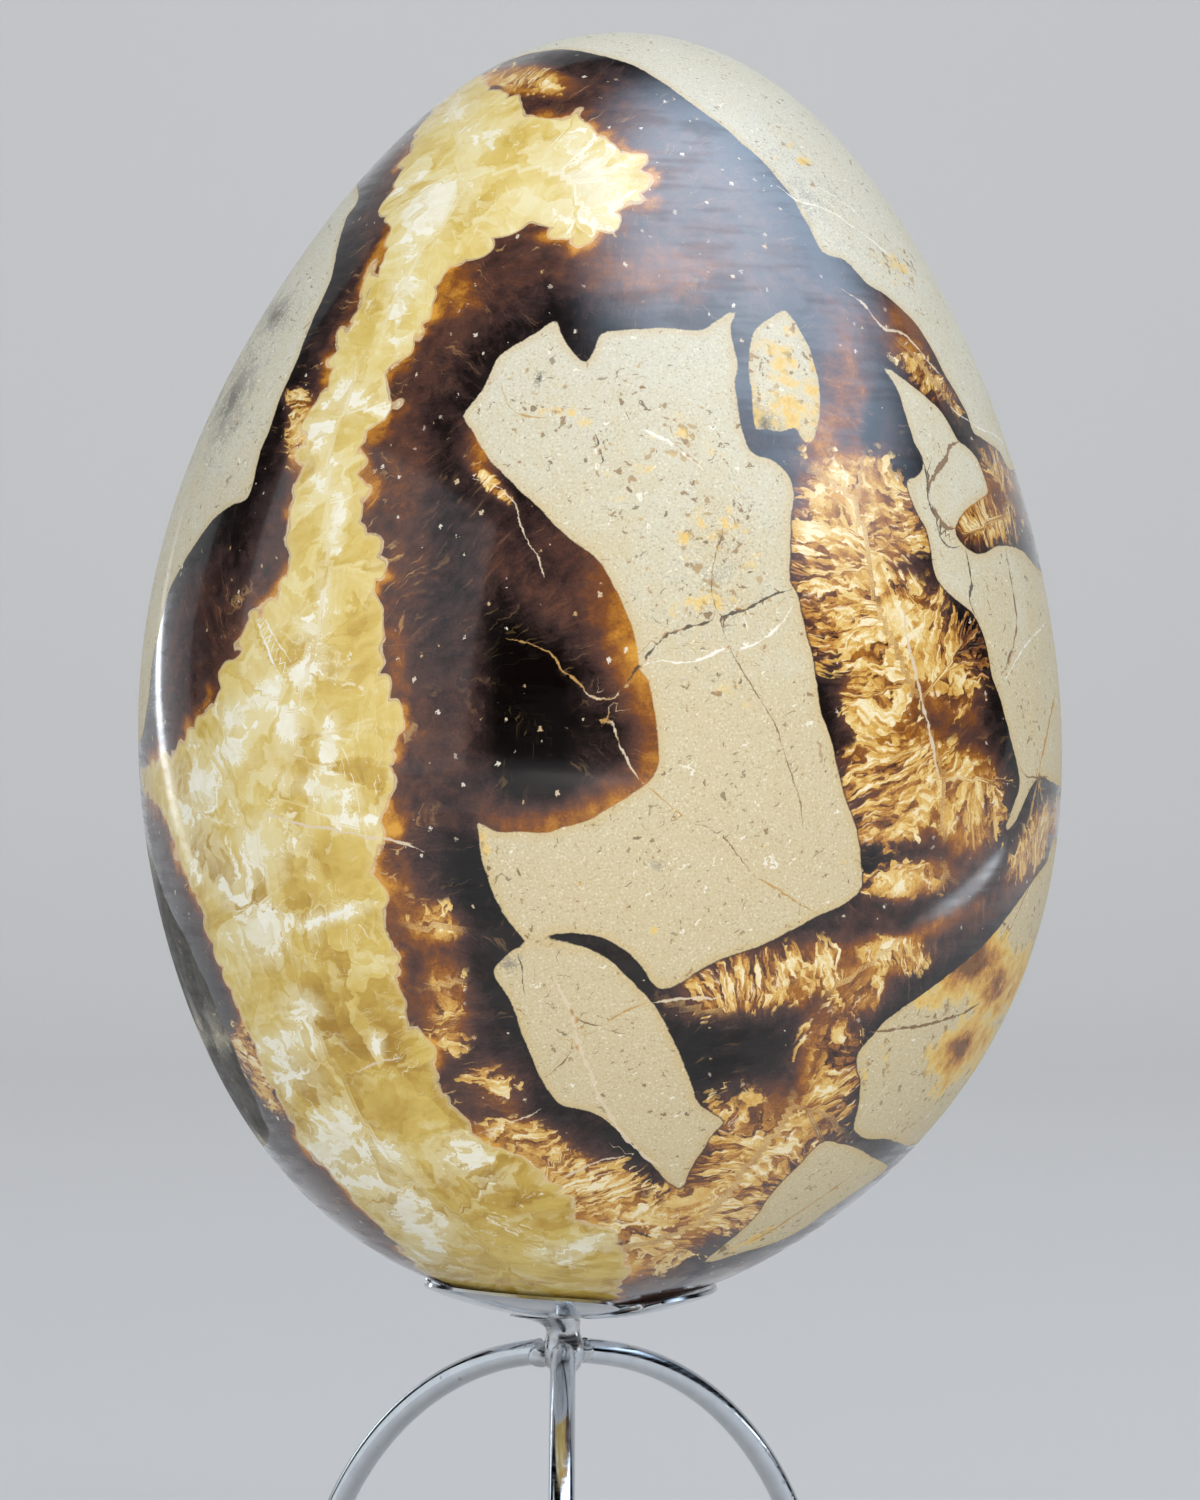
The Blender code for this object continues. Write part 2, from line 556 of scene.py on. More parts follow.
CLASTS = {
    "cap": Outline(front=(
        (498, 60), (535, 52), (560, 49), (600, 55), (620, 60), (640, 68), (655, 77), (685, 98),
        (702, 111), (722, 125), (740, 141), (760, 158), (776, 176), (791, 195), (801, 212), (812, 232),
        (821, 249), (832, 256), (844, 259), (857, 272), (868, 284), (885, 294), (900, 307), (915, 322),
        (926, 338), (935, 354), (945, 374), (957, 394), (968, 415), (974, 432), (985, 440), (1000, 452),
        (1012, 470),
    ), back=(
        (190, 462), (250, 455), (330, 425), (395, 392), (447, 340), (492, 285), (530, 235), (560, 196),
        (600, 150), (650, 110), (694, 72),
    )),
    "central clast": Outline(front=(
        (500, 355), (520, 342), (540, 330), (556, 320), (562, 335), (570, 348), (585, 362), (595, 348),
        (600, 335), (620, 330), (670, 328), (700, 330), (715, 322), (728, 313), (736, 311), (731, 325),
        (733, 345), (738, 362), (735, 385), (738, 405), (742, 430), (752, 452), (775, 462), (788, 475),
        (794, 495), (791, 520), (790, 560), (791, 582), (798, 596), (802, 615), (808, 640), (813, 658),
        (817, 685), (821, 712), (829, 733), (835, 757), (840, 780), (847, 802), (855, 825), (860, 850),
        (862, 875), (860, 890), (846, 903), (820, 915), (790, 931), (760, 946), (725, 958), (700, 970),
        (678, 985), (660, 989), (652, 983), (641, 966), (628, 953), (607, 940), (588, 935), (566, 933),
        (548, 936), (530, 943), (518, 933), (504, 914), (494, 895), (488, 877), (482, 862), (479, 840),
        (477, 822), (477, 822), (486, 826), (498, 832), (520, 832), (545, 833), (567, 827), (590, 820),
        (612, 806), (632, 794), (648, 783), (657, 770), (659, 750), (657, 725), (653, 700), (649, 682),
        (640, 668), (637, 650), (634, 632), (626, 612), (616, 590), (605, 570), (594, 556), (576, 543),
        (558, 528), (541, 509), (524, 494), (505, 475), (490, 460), (479, 443), (472, 430), (463, 418),
        (463, 416), (470, 406), (482, 391), (490, 374),
    )),
    "ochre sliver": Outline(front=(
        (784, 310), (793, 319), (804, 337), (812, 355), (818, 378), (820, 400), (819, 420), (812, 442),
        (803, 440), (796, 428), (781, 431), (765, 428), (756, 429), (753, 414), (752, 393), (749, 370),
        (750, 345), (757, 328), (770, 318),
    )),
    "right clast": Outline(front=(
        (1052, 782), (1040, 776), (1030, 790), (1022, 808), (1013, 826), (1006, 828), (1014, 806),
        (1020, 786), (1018, 766), (1012, 742), (1007, 722), (1001, 700), (993, 678), (988, 652),
        (982, 630), (972, 612), (956, 599), (944, 588), (935, 572), (931, 550), (927, 530), (918, 513),
        (909, 492), (908, 480), (918, 476), (924, 462), (914, 440), (905, 412), (898, 390), (884, 366),
        (905, 380), (925, 396), (941, 411), (951, 427), (958, 440), (966, 446), (976, 457), (983, 472),
        (988, 492), (979, 500), (967, 509), (958, 521), (956, 533), (964, 545), (975, 553), (986, 553),
        (996, 547), (1010, 546), (1024, 552), (1040, 570),
    ), back=(
        (166, 575), (230, 560), (300, 548), (368, 556), (425, 590), (458, 640), (466, 700), (440, 752),
        (385, 786), (310, 800), (235, 800), (160, 790),
    )),
    "foot clast": Outline(front=(
        (494, 974), (501, 961), (512, 951), (530, 944), (550, 941), (572, 944), (592, 951), (610, 961),
        (625, 975), (640, 990), (650, 1001), (659, 1013), (668, 1030), (680, 1055), (688, 1075),
        (694, 1092), (698, 1104), (711, 1113), (723, 1122), (712, 1135), (703, 1150), (692, 1167),
        (682, 1190), (682, 1190), (668, 1182), (655, 1168), (636, 1148), (618, 1131), (602, 1118),
        (583, 1110), (561, 1105), (549, 1092), (540, 1077), (531, 1055), (522, 1034), (515, 1012),
        (507, 995),
    )),
    "lower right clast": Outline(front=(
        (1056, 838), (1047, 862), (1034, 880), (1018, 903), (1004, 922), (987, 942), (968, 960),
        (948, 976), (925, 993), (902, 1009), (884, 1023), (872, 1037), (859, 1052), (857, 1066),
        (861, 1085), (859, 1104), (855, 1122), (855, 1132), (868, 1139), (890, 1140), (908, 1146),
        (922, 1150),
    ), back=(
        (282, 1146), (350, 1130), (420, 1080), (446, 1015), (426, 940), (372, 884), (300, 858),
        (220, 846), (150, 846),
    )),
    "keel clast": Outline(front=(
        (822, 1143), (840, 1144), (856, 1148), (870, 1156), (888, 1167), (872, 1181), (850, 1196),
        (825, 1213), (800, 1231), (775, 1243), (745, 1252), (705, 1263), (724, 1246), (742, 1231),
        (757, 1216), (768, 1199), (783, 1182), (800, 1165),
    )),
    "left clast": Outline(front=(
        (358, 192), (346, 218), (338, 245), (330, 280), (313, 318), (304, 340), (296, 362), (286, 384),
        (277, 405), (270, 428), (261, 448), (255, 472), (250, 492), (243, 501), (229, 506), (214, 518),
        (203, 532), (192, 548), (180, 568), (169, 590), (163, 612), (158, 635), (153, 655), (150, 678),
        (147, 705), (140, 740),
    ), back=(
        (1062, 742), (1010, 738), (950, 712), (890, 664), (838, 604), (798, 534), (774, 462),
        (764, 392), (772, 322), (800, 256), (836, 198),
    )),
    "heel clast": Outline(front=(
        (143, 838), (152, 860), (160, 884), (171, 912), (186, 940), (198, 968), (208, 988), (218, 1014),
        (231, 1042), (243, 1074), (254, 1097), (262, 1117), (268, 1140),
    ), back=(
        (935, 1146), (880, 1158), (815, 1150), (762, 1110), (742, 1050), (760, 985), (812, 938),
        (890, 905), (975, 872), (1057, 842),
    )),
    "back clast": Outline(back=(
        (540, 850), (590, 832), (640, 850), (668, 900), (672, 965), (664, 1040), (650, 1105),
        (610, 1150), (556, 1160), (516, 1120), (500, 1050), (497, 970), (508, 900),
    )),
    "back wedge": Outline(back=(
        (560, 420), (600, 432), (640, 476), (668, 540), (690, 610), (700, 668), (664, 690), (610, 680),
        (560, 640), (530, 580), (522, 510), (534, 455),
    )),
    "under clast": Outline(back=(
        (450, 1215), (520, 1204), (600, 1206), (680, 1216), (720, 1246), (690, 1280), (600, 1300),
        (500, 1286), (446, 1254),
    )),
}

CALCITE = {
    "main vein": Outline(front=(
        (430, 112), (418, 128), (410, 150), (398, 178), (388, 200), (384, 216), (392, 232), (385, 252),
        (378, 270), (369, 288), (358, 308), (346, 330), (335, 350), (331, 368), (327, 386), (318, 401),
        (309, 418), (304, 440), (302, 462), (297, 488), (294, 508), (291, 532), (288, 552), (289, 568),
        (280, 582), (274, 600), (266, 613), (249, 613), (245, 630), (237, 641), (240, 653), (227, 663),
        (223, 676), (227, 694), (213, 702), (200, 717), (190, 732), (178, 745), (166, 757), (152, 764),
        (140, 768), (141, 781), (150, 797), (163, 816), (175, 846), (184, 872), (198, 902), (206, 928),
        (218, 958), (230, 990), (243, 1024), (255, 1050), (266, 1078), (282, 1102), (292, 1122),
        (305, 1146), (320, 1164), (340, 1184), (356, 1204), (378, 1222), (398, 1246), (430, 1275),
        (500, 1300), (600, 1302), (628, 1266), (616, 1240), (602, 1226), (584, 1222), (569, 1212),
        (560, 1192), (540, 1178), (518, 1160), (494, 1149), (477, 1138), (468, 1124), (455, 1108),
        (441, 1087), (436, 1066), (428, 1050), (414, 1033), (404, 1012), (398, 990), (399, 968),
        (393, 944), (386, 920), (388, 894), (376, 874), (368, 858), (381, 842), (378, 816), (389, 796),
        (389, 778), (394, 756), (397, 736), (396, 708), (386, 686), (379, 660), (379, 630), (377, 608),
        (371, 592), (380, 574), (380, 548), (372, 535), (363, 522), (364, 500), (371, 488), (361, 476),
        (360, 452), (368, 434), (382, 417), (398, 404), (388, 396), (382, 388), (386, 374), (400, 361),
        (412, 349), (420, 334), (426, 318), (431, 300), (439, 284), (450, 269), (466, 262), (478, 255),
        (490, 243), (505, 230), (522, 222), (546, 227), (560, 238), (580, 240), (600, 233), (617, 226),
        (622, 208), (642, 200), (642, 180), (640, 162), (625, 153), (605, 136), (590, 128), (576, 113),
        (560, 118), (535, 118), (520, 112), (514, 100), (500, 91), (488, 84),
    ), back=(
        (716, 100), (706, 128), (735, 150), (762, 142), (772, 112),
    )),
    "back main vein": Outline(front=(
        (447, 122), (478, 106),
    ), back=(
        (716, 100), (692, 150), (660, 204), (630, 262), (612, 322), (618, 372), (668, 420), (712, 470),
        (738, 540), (772, 610), (822, 676), (886, 746), (970, 796), (1058, 812), (1060, 752),
        (970, 738), (904, 704), (846, 654), (796, 586), (760, 516), (736, 440), (722, 380), (724, 310),
        (742, 244), (768, 186), (784, 138), (772, 110),
    )),
    "back lower vein": Outline(back=(
        (500, 756), (560, 740), (640, 752), (730, 782), (800, 822), (842, 868), (800, 896), (730, 920),
        (712, 900), (690, 850), (640, 800), (580, 790), (520, 806), (470, 840), (440, 822), (460, 786),
    )),
    "back left vein": Outline(back=(
        (330, 478), (400, 450), (462, 402), (500, 392), (500, 440), (480, 500), (482, 560), (440, 540),
        (380, 512), (320, 508),
    )),
}

HAIRLINES = (
    Hairline(Lode.DARK, 0.22, (
        (620, 692), (635, 672), (650, 652), (665, 637), (682, 628), (702, 625), (722, 617), (745, 609),
        (760, 601), (776, 594), (794, 589),
    )),
    Hairline(Lode.CREAM, 0.09, ((634, 645), (650, 638), (666, 632), (684, 627))),
    Hairline(Lode.WHITE, 0.18, (
        (640, 668), (656, 661), (680, 663), (702, 659), (722, 650), (742, 648), (757, 643), (770, 634),
        (784, 620), (794, 602),
    )),
    Hairline(Lode.WHITE, 0.13, ((742, 605), (746, 624), (750, 644))),
    Hairline(Lode.BROWN, 0.09, (
        (725, 512), (722, 536), (714, 560), (712, 592), (720, 618), (729, 645), (742, 670), (758, 696),
        (774, 722), (783, 748), (792, 776), (801, 805), (804, 840),
    )),
    Hairline(Lode.CREAM, 0.16, ((606, 696), (612, 722), (618, 742), (627, 760), (636, 776), (644, 786))),
    Hairline(Lode.OCHRE, 0.17, ((640, 780), (655, 793), (672, 808), (686, 818), (700, 825))),
    Hairline(Lode.BROWN, 0.10, ((696, 824), (716, 832), (730, 845), (748, 868), (756, 878))),
    Hairline(Lode.OCHRE, 0.15, ((750, 872), (775, 888), (800, 904), (822, 916))),
    Hairline(Lode.BROWN, 0.10, ((670, 823), (686, 826), (702, 825), (718, 830), (730, 827))),
    Hairline(Lode.OCHRE, 0.13, (
        (503, 637), (520, 641), (540, 648), (552, 655), (562, 670), (578, 682), (590, 694), (604, 700),
        (615, 698),
    )),
    Hairline(Lode.CREAM, 0.34, (
        (905, 610), (908, 640), (916, 672), (922, 700), (930, 730), (936, 762), (942, 790),
    )),
    Hairline(Lode.CREAM, 0.17, ((582, 690), (596, 698), (612, 699), (622, 690), (632, 680))),
    Hairline(Lode.OCHRE, 0.30, ((604, 702), (609, 716), (600, 723), (612, 727), (618, 738))),
    Hairline(Lode.DARK, 0.17, ((595, 432), (600, 450), (605, 467), (609, 486))),
    Hairline(Lode.WHITE, 0.22, ((590, 436), (597, 457), (600, 474))),
    Hairline(Lode.WHITE, 0.36, ((640, 428), (658, 435), (675, 446), (690, 458), (705, 472))),
    Hairline(Lode.DARK, 0.12, ((674, 444), (686, 452), (698, 464))),
    Hairline(Lode.OCHRE, 0.14, ((500, 376), (503, 394), (510, 407), (521, 415), (538, 417), (552, 418))),
    Hairline(Lode.CREAM, 0.10, (
        (468, 477), (484, 482), (500, 488), (509, 496), (517, 509), (520, 524), (528, 543), (538, 556),
        (543, 574), (552, 590),
    )),
    Hairline(Lode.WHITE, 0.15, (
        (776, 184), (790, 195), (802, 202), (818, 206), (836, 214), (852, 226), (872, 240), (886, 252),
        (900, 262),
    )),
    Hairline(Lode.WHITE, 0.10, ((818, 186), (836, 197), (856, 212), (876, 234))),
    Hairline(Lode.WHITE, 0.13, ((948, 404), (962, 416), (980, 428), (994, 434), (1006, 446))),
    Hairline(Lode.CREAM, 0.24, (
        (846, 292), (860, 300), (872, 314), (884, 328), (904, 334), (918, 348), (932, 366), (946, 380),
    )),
    Hairline(Lode.BROWN, 0.42, (
        (960, 441), (950, 446), (946, 460), (938, 470), (931, 480), (930, 492), (934, 506), (940, 520),
        (948, 528), (958, 527),
    )),
    Hairline(Lode.DARK, 0.15, (
        (914, 446), (922, 459), (927, 476), (929, 500), (936, 520), (941, 538), (950, 547), (962, 545),
    )),
    Hairline(Lode.DARK, 0.30, ((966, 548), (969, 566), (972, 584), (970, 600), (977, 618))),
    Hairline(Lode.BROWN, 0.24, (
        (1006, 548), (1010, 572), (1014, 596), (1017, 622), (1013, 648), (1007, 664), (1000, 678),
    )),
    Hairline(Lode.WHITE, 0.14, ((1046, 622), (1034, 636), (1020, 655), (1010, 672), (1002, 684))),
    Hairline(Lode.OCHRE, 0.34, (
        (1056, 692), (1051, 715), (1046, 740), (1041, 762), (1040, 784), (1044, 806),
    )),
    Hairline(Lode.BROWN, 0.13, ((1020, 766), (1026, 776), (1040, 778), (1050, 776))),
    Hairline(Lode.OCHRE, 0.36, ((1038, 780), (1034, 800), (1030, 818), (1024, 830))),
    Hairline(Lode.BROWN, 0.27, (
        (872, 1032), (888, 1031), (908, 1028), (930, 1024), (950, 1018), (966, 1012), (984, 1000),
    )),
    Hairline(Lode.CREAM, 0.18, ((857, 1125), (872, 1104), (888, 1086), (902, 1070))),
    Hairline(Lode.BROWN, 0.10, ((1036, 872), (1022, 904), (1010, 930), (996, 948))),
    Hairline(Lode.CREAM, 0.30, (
        (552, 976), (562, 994), (571, 1014), (576, 1034), (583, 1056), (591, 1073), (598, 1094),
        (610, 1117), (624, 1136), (642, 1154), (664, 1170),
    )),
    Hairline(Lode.BROWN, 0.11, ((572, 1010), (583, 1022), (600, 1028), (618, 1033), (630, 1034))),
    Hairline(Lode.OCHRE, 0.17, ((600, 1028), (614, 1018), (630, 1010), (648, 1001))),
    Hairline(Lode.BROWN, 0.20, ((545, 1077), (556, 1069), (566, 1059), (572, 1051))),
    Hairline(Lode.DARK, 0.12, ((517, 950), (521, 966), (523, 986), (524, 1000))),
    Hairline(Lode.OCHRE, 0.26, ((742, 1246), (770, 1232), (800, 1212), (830, 1192), (856, 1172))),
    Hairline(Lode.CREAM, 0.20, (
        (258, 812), (280, 818), (304, 826), (330, 829), (352, 834), (372, 838), (392, 840), (408, 845),
        (428, 854),
    )),
    Hairline(Lode.WHITE, 0.20, ((256, 618), (270, 656), (286, 690))),
    Hairline(Lode.WHITE, 0.14, ((262, 616), (284, 652), (296, 672))),
    Hairline(Lode.WHITE, 0.20, ((306, 930), (330, 917), (358, 905))),
    Hairline(Lode.CREAM, 0.14, ((352, 1074), (380, 1062), (412, 1056))),
    Hairline(Lode.CREAM, 0.12, ((474, 1136), (500, 1126), (524, 1118), (548, 1106))),
    Hairline(Lode.CREAM, 0.20, ((556, 1182), (580, 1170), (604, 1160), (628, 1156))),
    Hairline(Lode.CREAM, 0.20, ((650, 1004), (672, 1000), (700, 999), (726, 997))),
    Hairline(Lode.DARK, 0.16, ((300, 330), (340, 344), (380, 352), (420, 344)), View.BACK),
    Hairline(Lode.WHITE, 0.20, ((860, 300), (900, 360), (930, 440), (980, 500)), View.BACK),
    Hairline(Lode.BROWN, 0.22, ((820, 480), (870, 500), (930, 510), (1010, 560)), View.BACK),
    Hairline(Lode.OCHRE, 0.26, ((220, 600), (290, 640), (350, 650), (420, 690)), View.BACK),
    Hairline(Lode.WHITE, 0.20, ((260, 760), (300, 700), (340, 650)), View.BACK),
    Hairline(Lode.BROWN, 0.24, ((240, 900), (290, 960), (350, 1000), (420, 1010)), View.BACK),
    Hairline(Lode.CREAM, 0.24, ((560, 880), (580, 950), (600, 1040), (610, 1120)), View.BACK),
    Hairline(Lode.DARK, 0.16, ((800, 980), (850, 1010), (900, 1060), (930, 1110)), View.BACK),
    Hairline(Lode.BROWN, 0.20, ((560, 480), (600, 540), (640, 600), (660, 660)), View.BACK),
)

# Feathery white cleavage in the calcite
FEATHER = ovals(
    (600, 180, 46, 40, 30), (428, 205, 42, 26, -35), (478, 140, 18, 12), (456, 110, 16, 12),
    (404, 296, 12, 46, 16), (362, 398, 40, 20, -12), (392, 408, 20, 12), (318, 440, 16, 30, 8),
    (320, 478, 18, 22), (336, 520, 9, 34, 8), (322, 600, 8, 34, 4), (312, 628, 14, 16),
    (306, 676, 12, 20, 30), (262, 700, 24, 12, -30), (236, 718, 20, 18), (226, 752, 26, 20, 20),
    (292, 720, 12, 26), (328, 744, 9, 30), (318, 790, 40, 12, 14), (356, 822, 24, 9, 8),
    (262, 850, 30, 34), (200, 790, 22, 34, -14), (232, 880, 20, 46, -30), (264, 930, 26, 22, 20),
    (330, 918, 34, 7, -18), (262, 1050, 12, 16), (280, 1070, 34, 22, 40), (306, 1010, 18, 14),
    (380, 1044, 8, 10), (330, 1150, 34, 34, 40), (470, 1162, 40, 24, 14), (384, 1150, 30, 16, 30),
    (410, 1216, 22, 50, -40), (580, 1244, 30, 12, -20), (290, 1040, 36, 12),
) + ovals(
    (700, 240, 26, 60, 20, 1.0), (640, 320, 40, 22, 0, 1.0), (760, 560, 24, 50, -30, 1.0),
    (860, 690, 50, 20, 40, 1.0), (700, 830, 60, 20, 20, 1.0), (520, 780, 40, 16, 0, 1.0),
    (440, 470, 30, 18, 0, 1.0),
    view=View.BACK,
)

# How much paler, or deeper in colour, the calcite is
HONEY = ovals(
    (362, 650, 26, 90, 0, -0.10), (366, 780, 30, 80, 0, -0.16), (300, 600, 40, 40, 0, 0.05),
    (250, 800, 60, 70, 0, 0.14), (330, 860, 70, 40, 0, -0.14), (370, 1040, 70, 60, 0, -0.24),
    (520, 1210, 80, 34, 10, -0.26), (250, 1000, 50, 90, -30, 0.10), (340, 340, 40, 60, 0, 0.1),
    (470, 150, 60, 40, -30, 0.14), (540, 190, 90, 50, 0, 0.26), (430, 260, 40, 60, 30, 0.06),
)

# Golden crystals grown together in the aragonite
GOLD = ovals(
    (850, 535, 50, 46), (905, 520, 26, 34), (850, 610, 52, 50), (900, 640, 50, 60), (955, 665, 30, 48),
    (880, 700, 34, 40), (890, 770, 56, 34, -14), (965, 800, 34, 44, -24), (880, 820, 50, 26, -14),
    (905, 880, 40, 16, -6), (760, 978, 78, 26, -12), (890, 955, 34, 16, 8), (860, 990, 26, 22),
    (830, 1070, 26, 60, 6), (760, 1150, 70, 50), (720, 1200, 60, 34), (640, 1230, 60, 34),
    (590, 1190, 50, 26), (530, 1148, 44, 22, 20), (436, 925, 20, 16, 0, 0.6),
    (446, 1010, 16, 34, 0, 0.5), (812, 540, 22, 56, 0, 0.6), (490, 1085, 24, 16, 0, 0.5),
    (530, 1180, 40, 24, 20, 0.5), (850, 478, 34, 20, 0, 0.6), (930, 380, 34, 12, 46, 0.6),
    (980, 520, 30, 22, 0, 0.6), (1000, 470, 14, 26, -20, 0.5), (494, 486, 22, 5, 44, 0.6),
    (296, 400, 12, 10), (300, 440, 12, 30), (250, 1050, 18, 26, -20), (270, 1085, 14, 24, -30),
    (530, 80, 34, 12, 10), (1036, 840, 14, 40, 30),
) + ovals(
    (500, 700, 40, 50, 0, 1.0), (700, 720, 60, 30, 0, 1.0), (700, 1180, 80, 30, 0, 1.0),
    (460, 1120, 40, 60, 0, 1.0), (480, 620, 30, 60, 0, 1.0), (230, 500, 60, 24, 0, 1.0),
    view=View.BACK,
)

# Where the aragonite glows amber beside the clasts; the patch at (830, 440) is partly painted reflection
GLOW = ovals(
    (585, 690, 190, 260, -14, 1.05), (520, 810, 120, 70, 0, 0.45), (480, 450, 50, 60, 0, 0.5),
    (800, 1060, 34, 90, 0, 0.7), (860, 920, 120, 40, -16, 0.3), (560, 1150, 90, 40, 20, 0.3),
    (900, 320, 60, 60, 40, 0.5), (980, 500, 50, 50, 0, 0.4), (975, 915, 110, 24, -36, 0.8),
    # Partly painted reflection: the patch at (830, 440) lifts the brown towards the pale mauve veil of the
    # sky's sheen over it.
    (830, 440, 60, 60, 0, 0.6),
) + ovals(
    (520, 700, 120, 90, 0, 0.7), (700, 1150, 120, 60, 0, 0.6),
    view=View.BACK,
)

# How much lighter and warmer, or darker, the aragonite is than elsewhere at the same depth, with a few
# lifts near the top that are painted reflection
DEPTH = ovals(
    (535, 715, 80, 130, 0, -0.75), (500, 630, 40, 60, 0, -0.35), (600, 740, 40, 60, 0, -0.2),
    (590, 620, 50, 80, -30, 0.10), (480, 440, 30, 50, -30, 0.2), (830, 640, 16, 14, 0, -0.6),
    (895, 590, 22, 14, 0, -0.7), (880, 600, 10, 10, 0, -0.5), (968, 640, 22, 60, -24, -0.5),
    (955, 700, 60, 34, 0, -0.16), (880, 840, 60, 60, 0, -0.14), (900, 470, 40, 24, 0, -0.2),
    (405, 470, 50, 80, 0, 0.10), (405, 560, 40, 80, 0, 0.08), (450, 520, 40, 130, 0, -0.22),
    (450, 660, 40, 100, 0, -0.12), (400, 660, 18, 60, 0, 0.3), (400, 820, 24, 40, 0, 0.3),
    (400, 890, 34, 50, 0, 0.3), (470, 880, 50, 90, 0, -0.25), (470, 1080, 60, 70, 0, -0.2),
    (560, 1150, 70, 30, 20, -0.1), (740, 1050, 90, 70, 0, -0.35), (840, 1060, 34, 90, 0, -0.25),
    (240, 560, 70, 60, 0, -0.15), (190, 650, 30, 90, 0, -0.1), (270, 560, 30, 60, 0, 0.12),
    (960, 640, 34, 50, 0, -0.25), (940, 900, 120, 30, -30, -0.15), (880, 860, 90, 30, -14, -0.1),
    # Painted reflection: the lifts at (840, 380), (650, 275) and (840, 500) paint in the pale mauve veil of
    # the sky's sheen over the top of the stone.
    (872, 425, 16, 50, 6, -0.5), (840, 380, 60, 110, 0, 0.34), (770, 300, 60, 40, 0, 0.2),
    (650, 275, 120, 56, 0, 0.24), (458, 290, 44, 50, 0, 0.36), (900, 330, 70, 26, 46, 0.26),
    (930, 928, 100, 18, -26, 0.34), (840, 500, 60, 60, 0, 0.24),
)

# Rust and ochre soaked into the clasts
RUST = round_the_edge(ovals(
    (972, 965, 56, 44, -44, 2.4), (1000, 985, 30, 62, 34, 1.9), (962, 1048, 52, 32, -40, 2.0),
)) + ovals(
    (804, 160, 14, 8, 40), (787, 145, 8, 10, 40, 0.6), (775, 158, 7, 6, 0, 0.6),
    (792, 408, 64, 64, 0, 0.95), (776, 366, 34, 40, 0, 0.75), (790, 330, 24, 24, 0, 0.4),
    (893, 268, 30, 20, 20, 0.7), (945, 1084, 30, 12, -44, 1.0), (930, 1000, 30, 26, 0, 0.9),
    (886, 1050, 6, 34, 0, 0.7), (866, 1066, 8, 24, 0, 0.8), (706, 530, 60, 50, 0, 0.5),
    (704, 600, 60, 24, 0, 0.55), (750, 560, 24, 40, 0, 0.5), (730, 690, 20, 14, 0, 0.5),
    (745, 706, 14, 10, 0, 0.5), (764, 846, 8, 6), (845, 862, 6, 5), (636, 834, 10, 5, 0, 0.7),
    (584, 884, 8, 5, 0, 0.7), (654, 930, 12, 6, 0, 0.5), (484, 846, 10, 26, -14, 0.5),
    (1030, 720, 8, 40, 0, 0.4), (750, 1240, 50, 8, -24, 0.8), (560, 410, 70, 30, 0, 0.4),
    (640, 470, 60, 50, 0, 0.3), (690, 430, 60, 20, 30, 0.5), (600, 760, 60, 40, -20, 0.2),
) + ovals(
    (300, 380, 30, 16, 0, 1.0), (900, 420, 40, 24, 0, 1.0), (350, 940, 50, 30, 0, 1.2),
    (590, 1000, 24, 40, 0, 0.8),
    view=View.BACK,
)

# Grey, dark flecked areas of the clasts
SMOKE = round_the_edge(ovals(
    (196, 940, 80, 150, -26, 2.8), (240, 1090, 60, 80, -30, 2.8),
)) + ovals(
    (276, 316, 34, 20, -50, 0.8), (232, 400, 22, 80, 22, 0.8), (250, 370, 16, 40, 20, 0.4),
    (510, 965, 16, 16), (806, 196, 60, 30, 44, 0.3), (720, 560, 40, 50, 0, 0.25),
    (765, 420, 40, 20, 30), (538, 377, 8, 13, 0, 1.6), (660, 865, 12, 8), (900, 640, 20, 20),
) + ovals(
    (950, 300, 60, 40, 0, 0.7), (850, 1040, 60, 60, 0, 0.6), (280, 620, 60, 40, 0, 0.8),
    view=View.BACK,
)


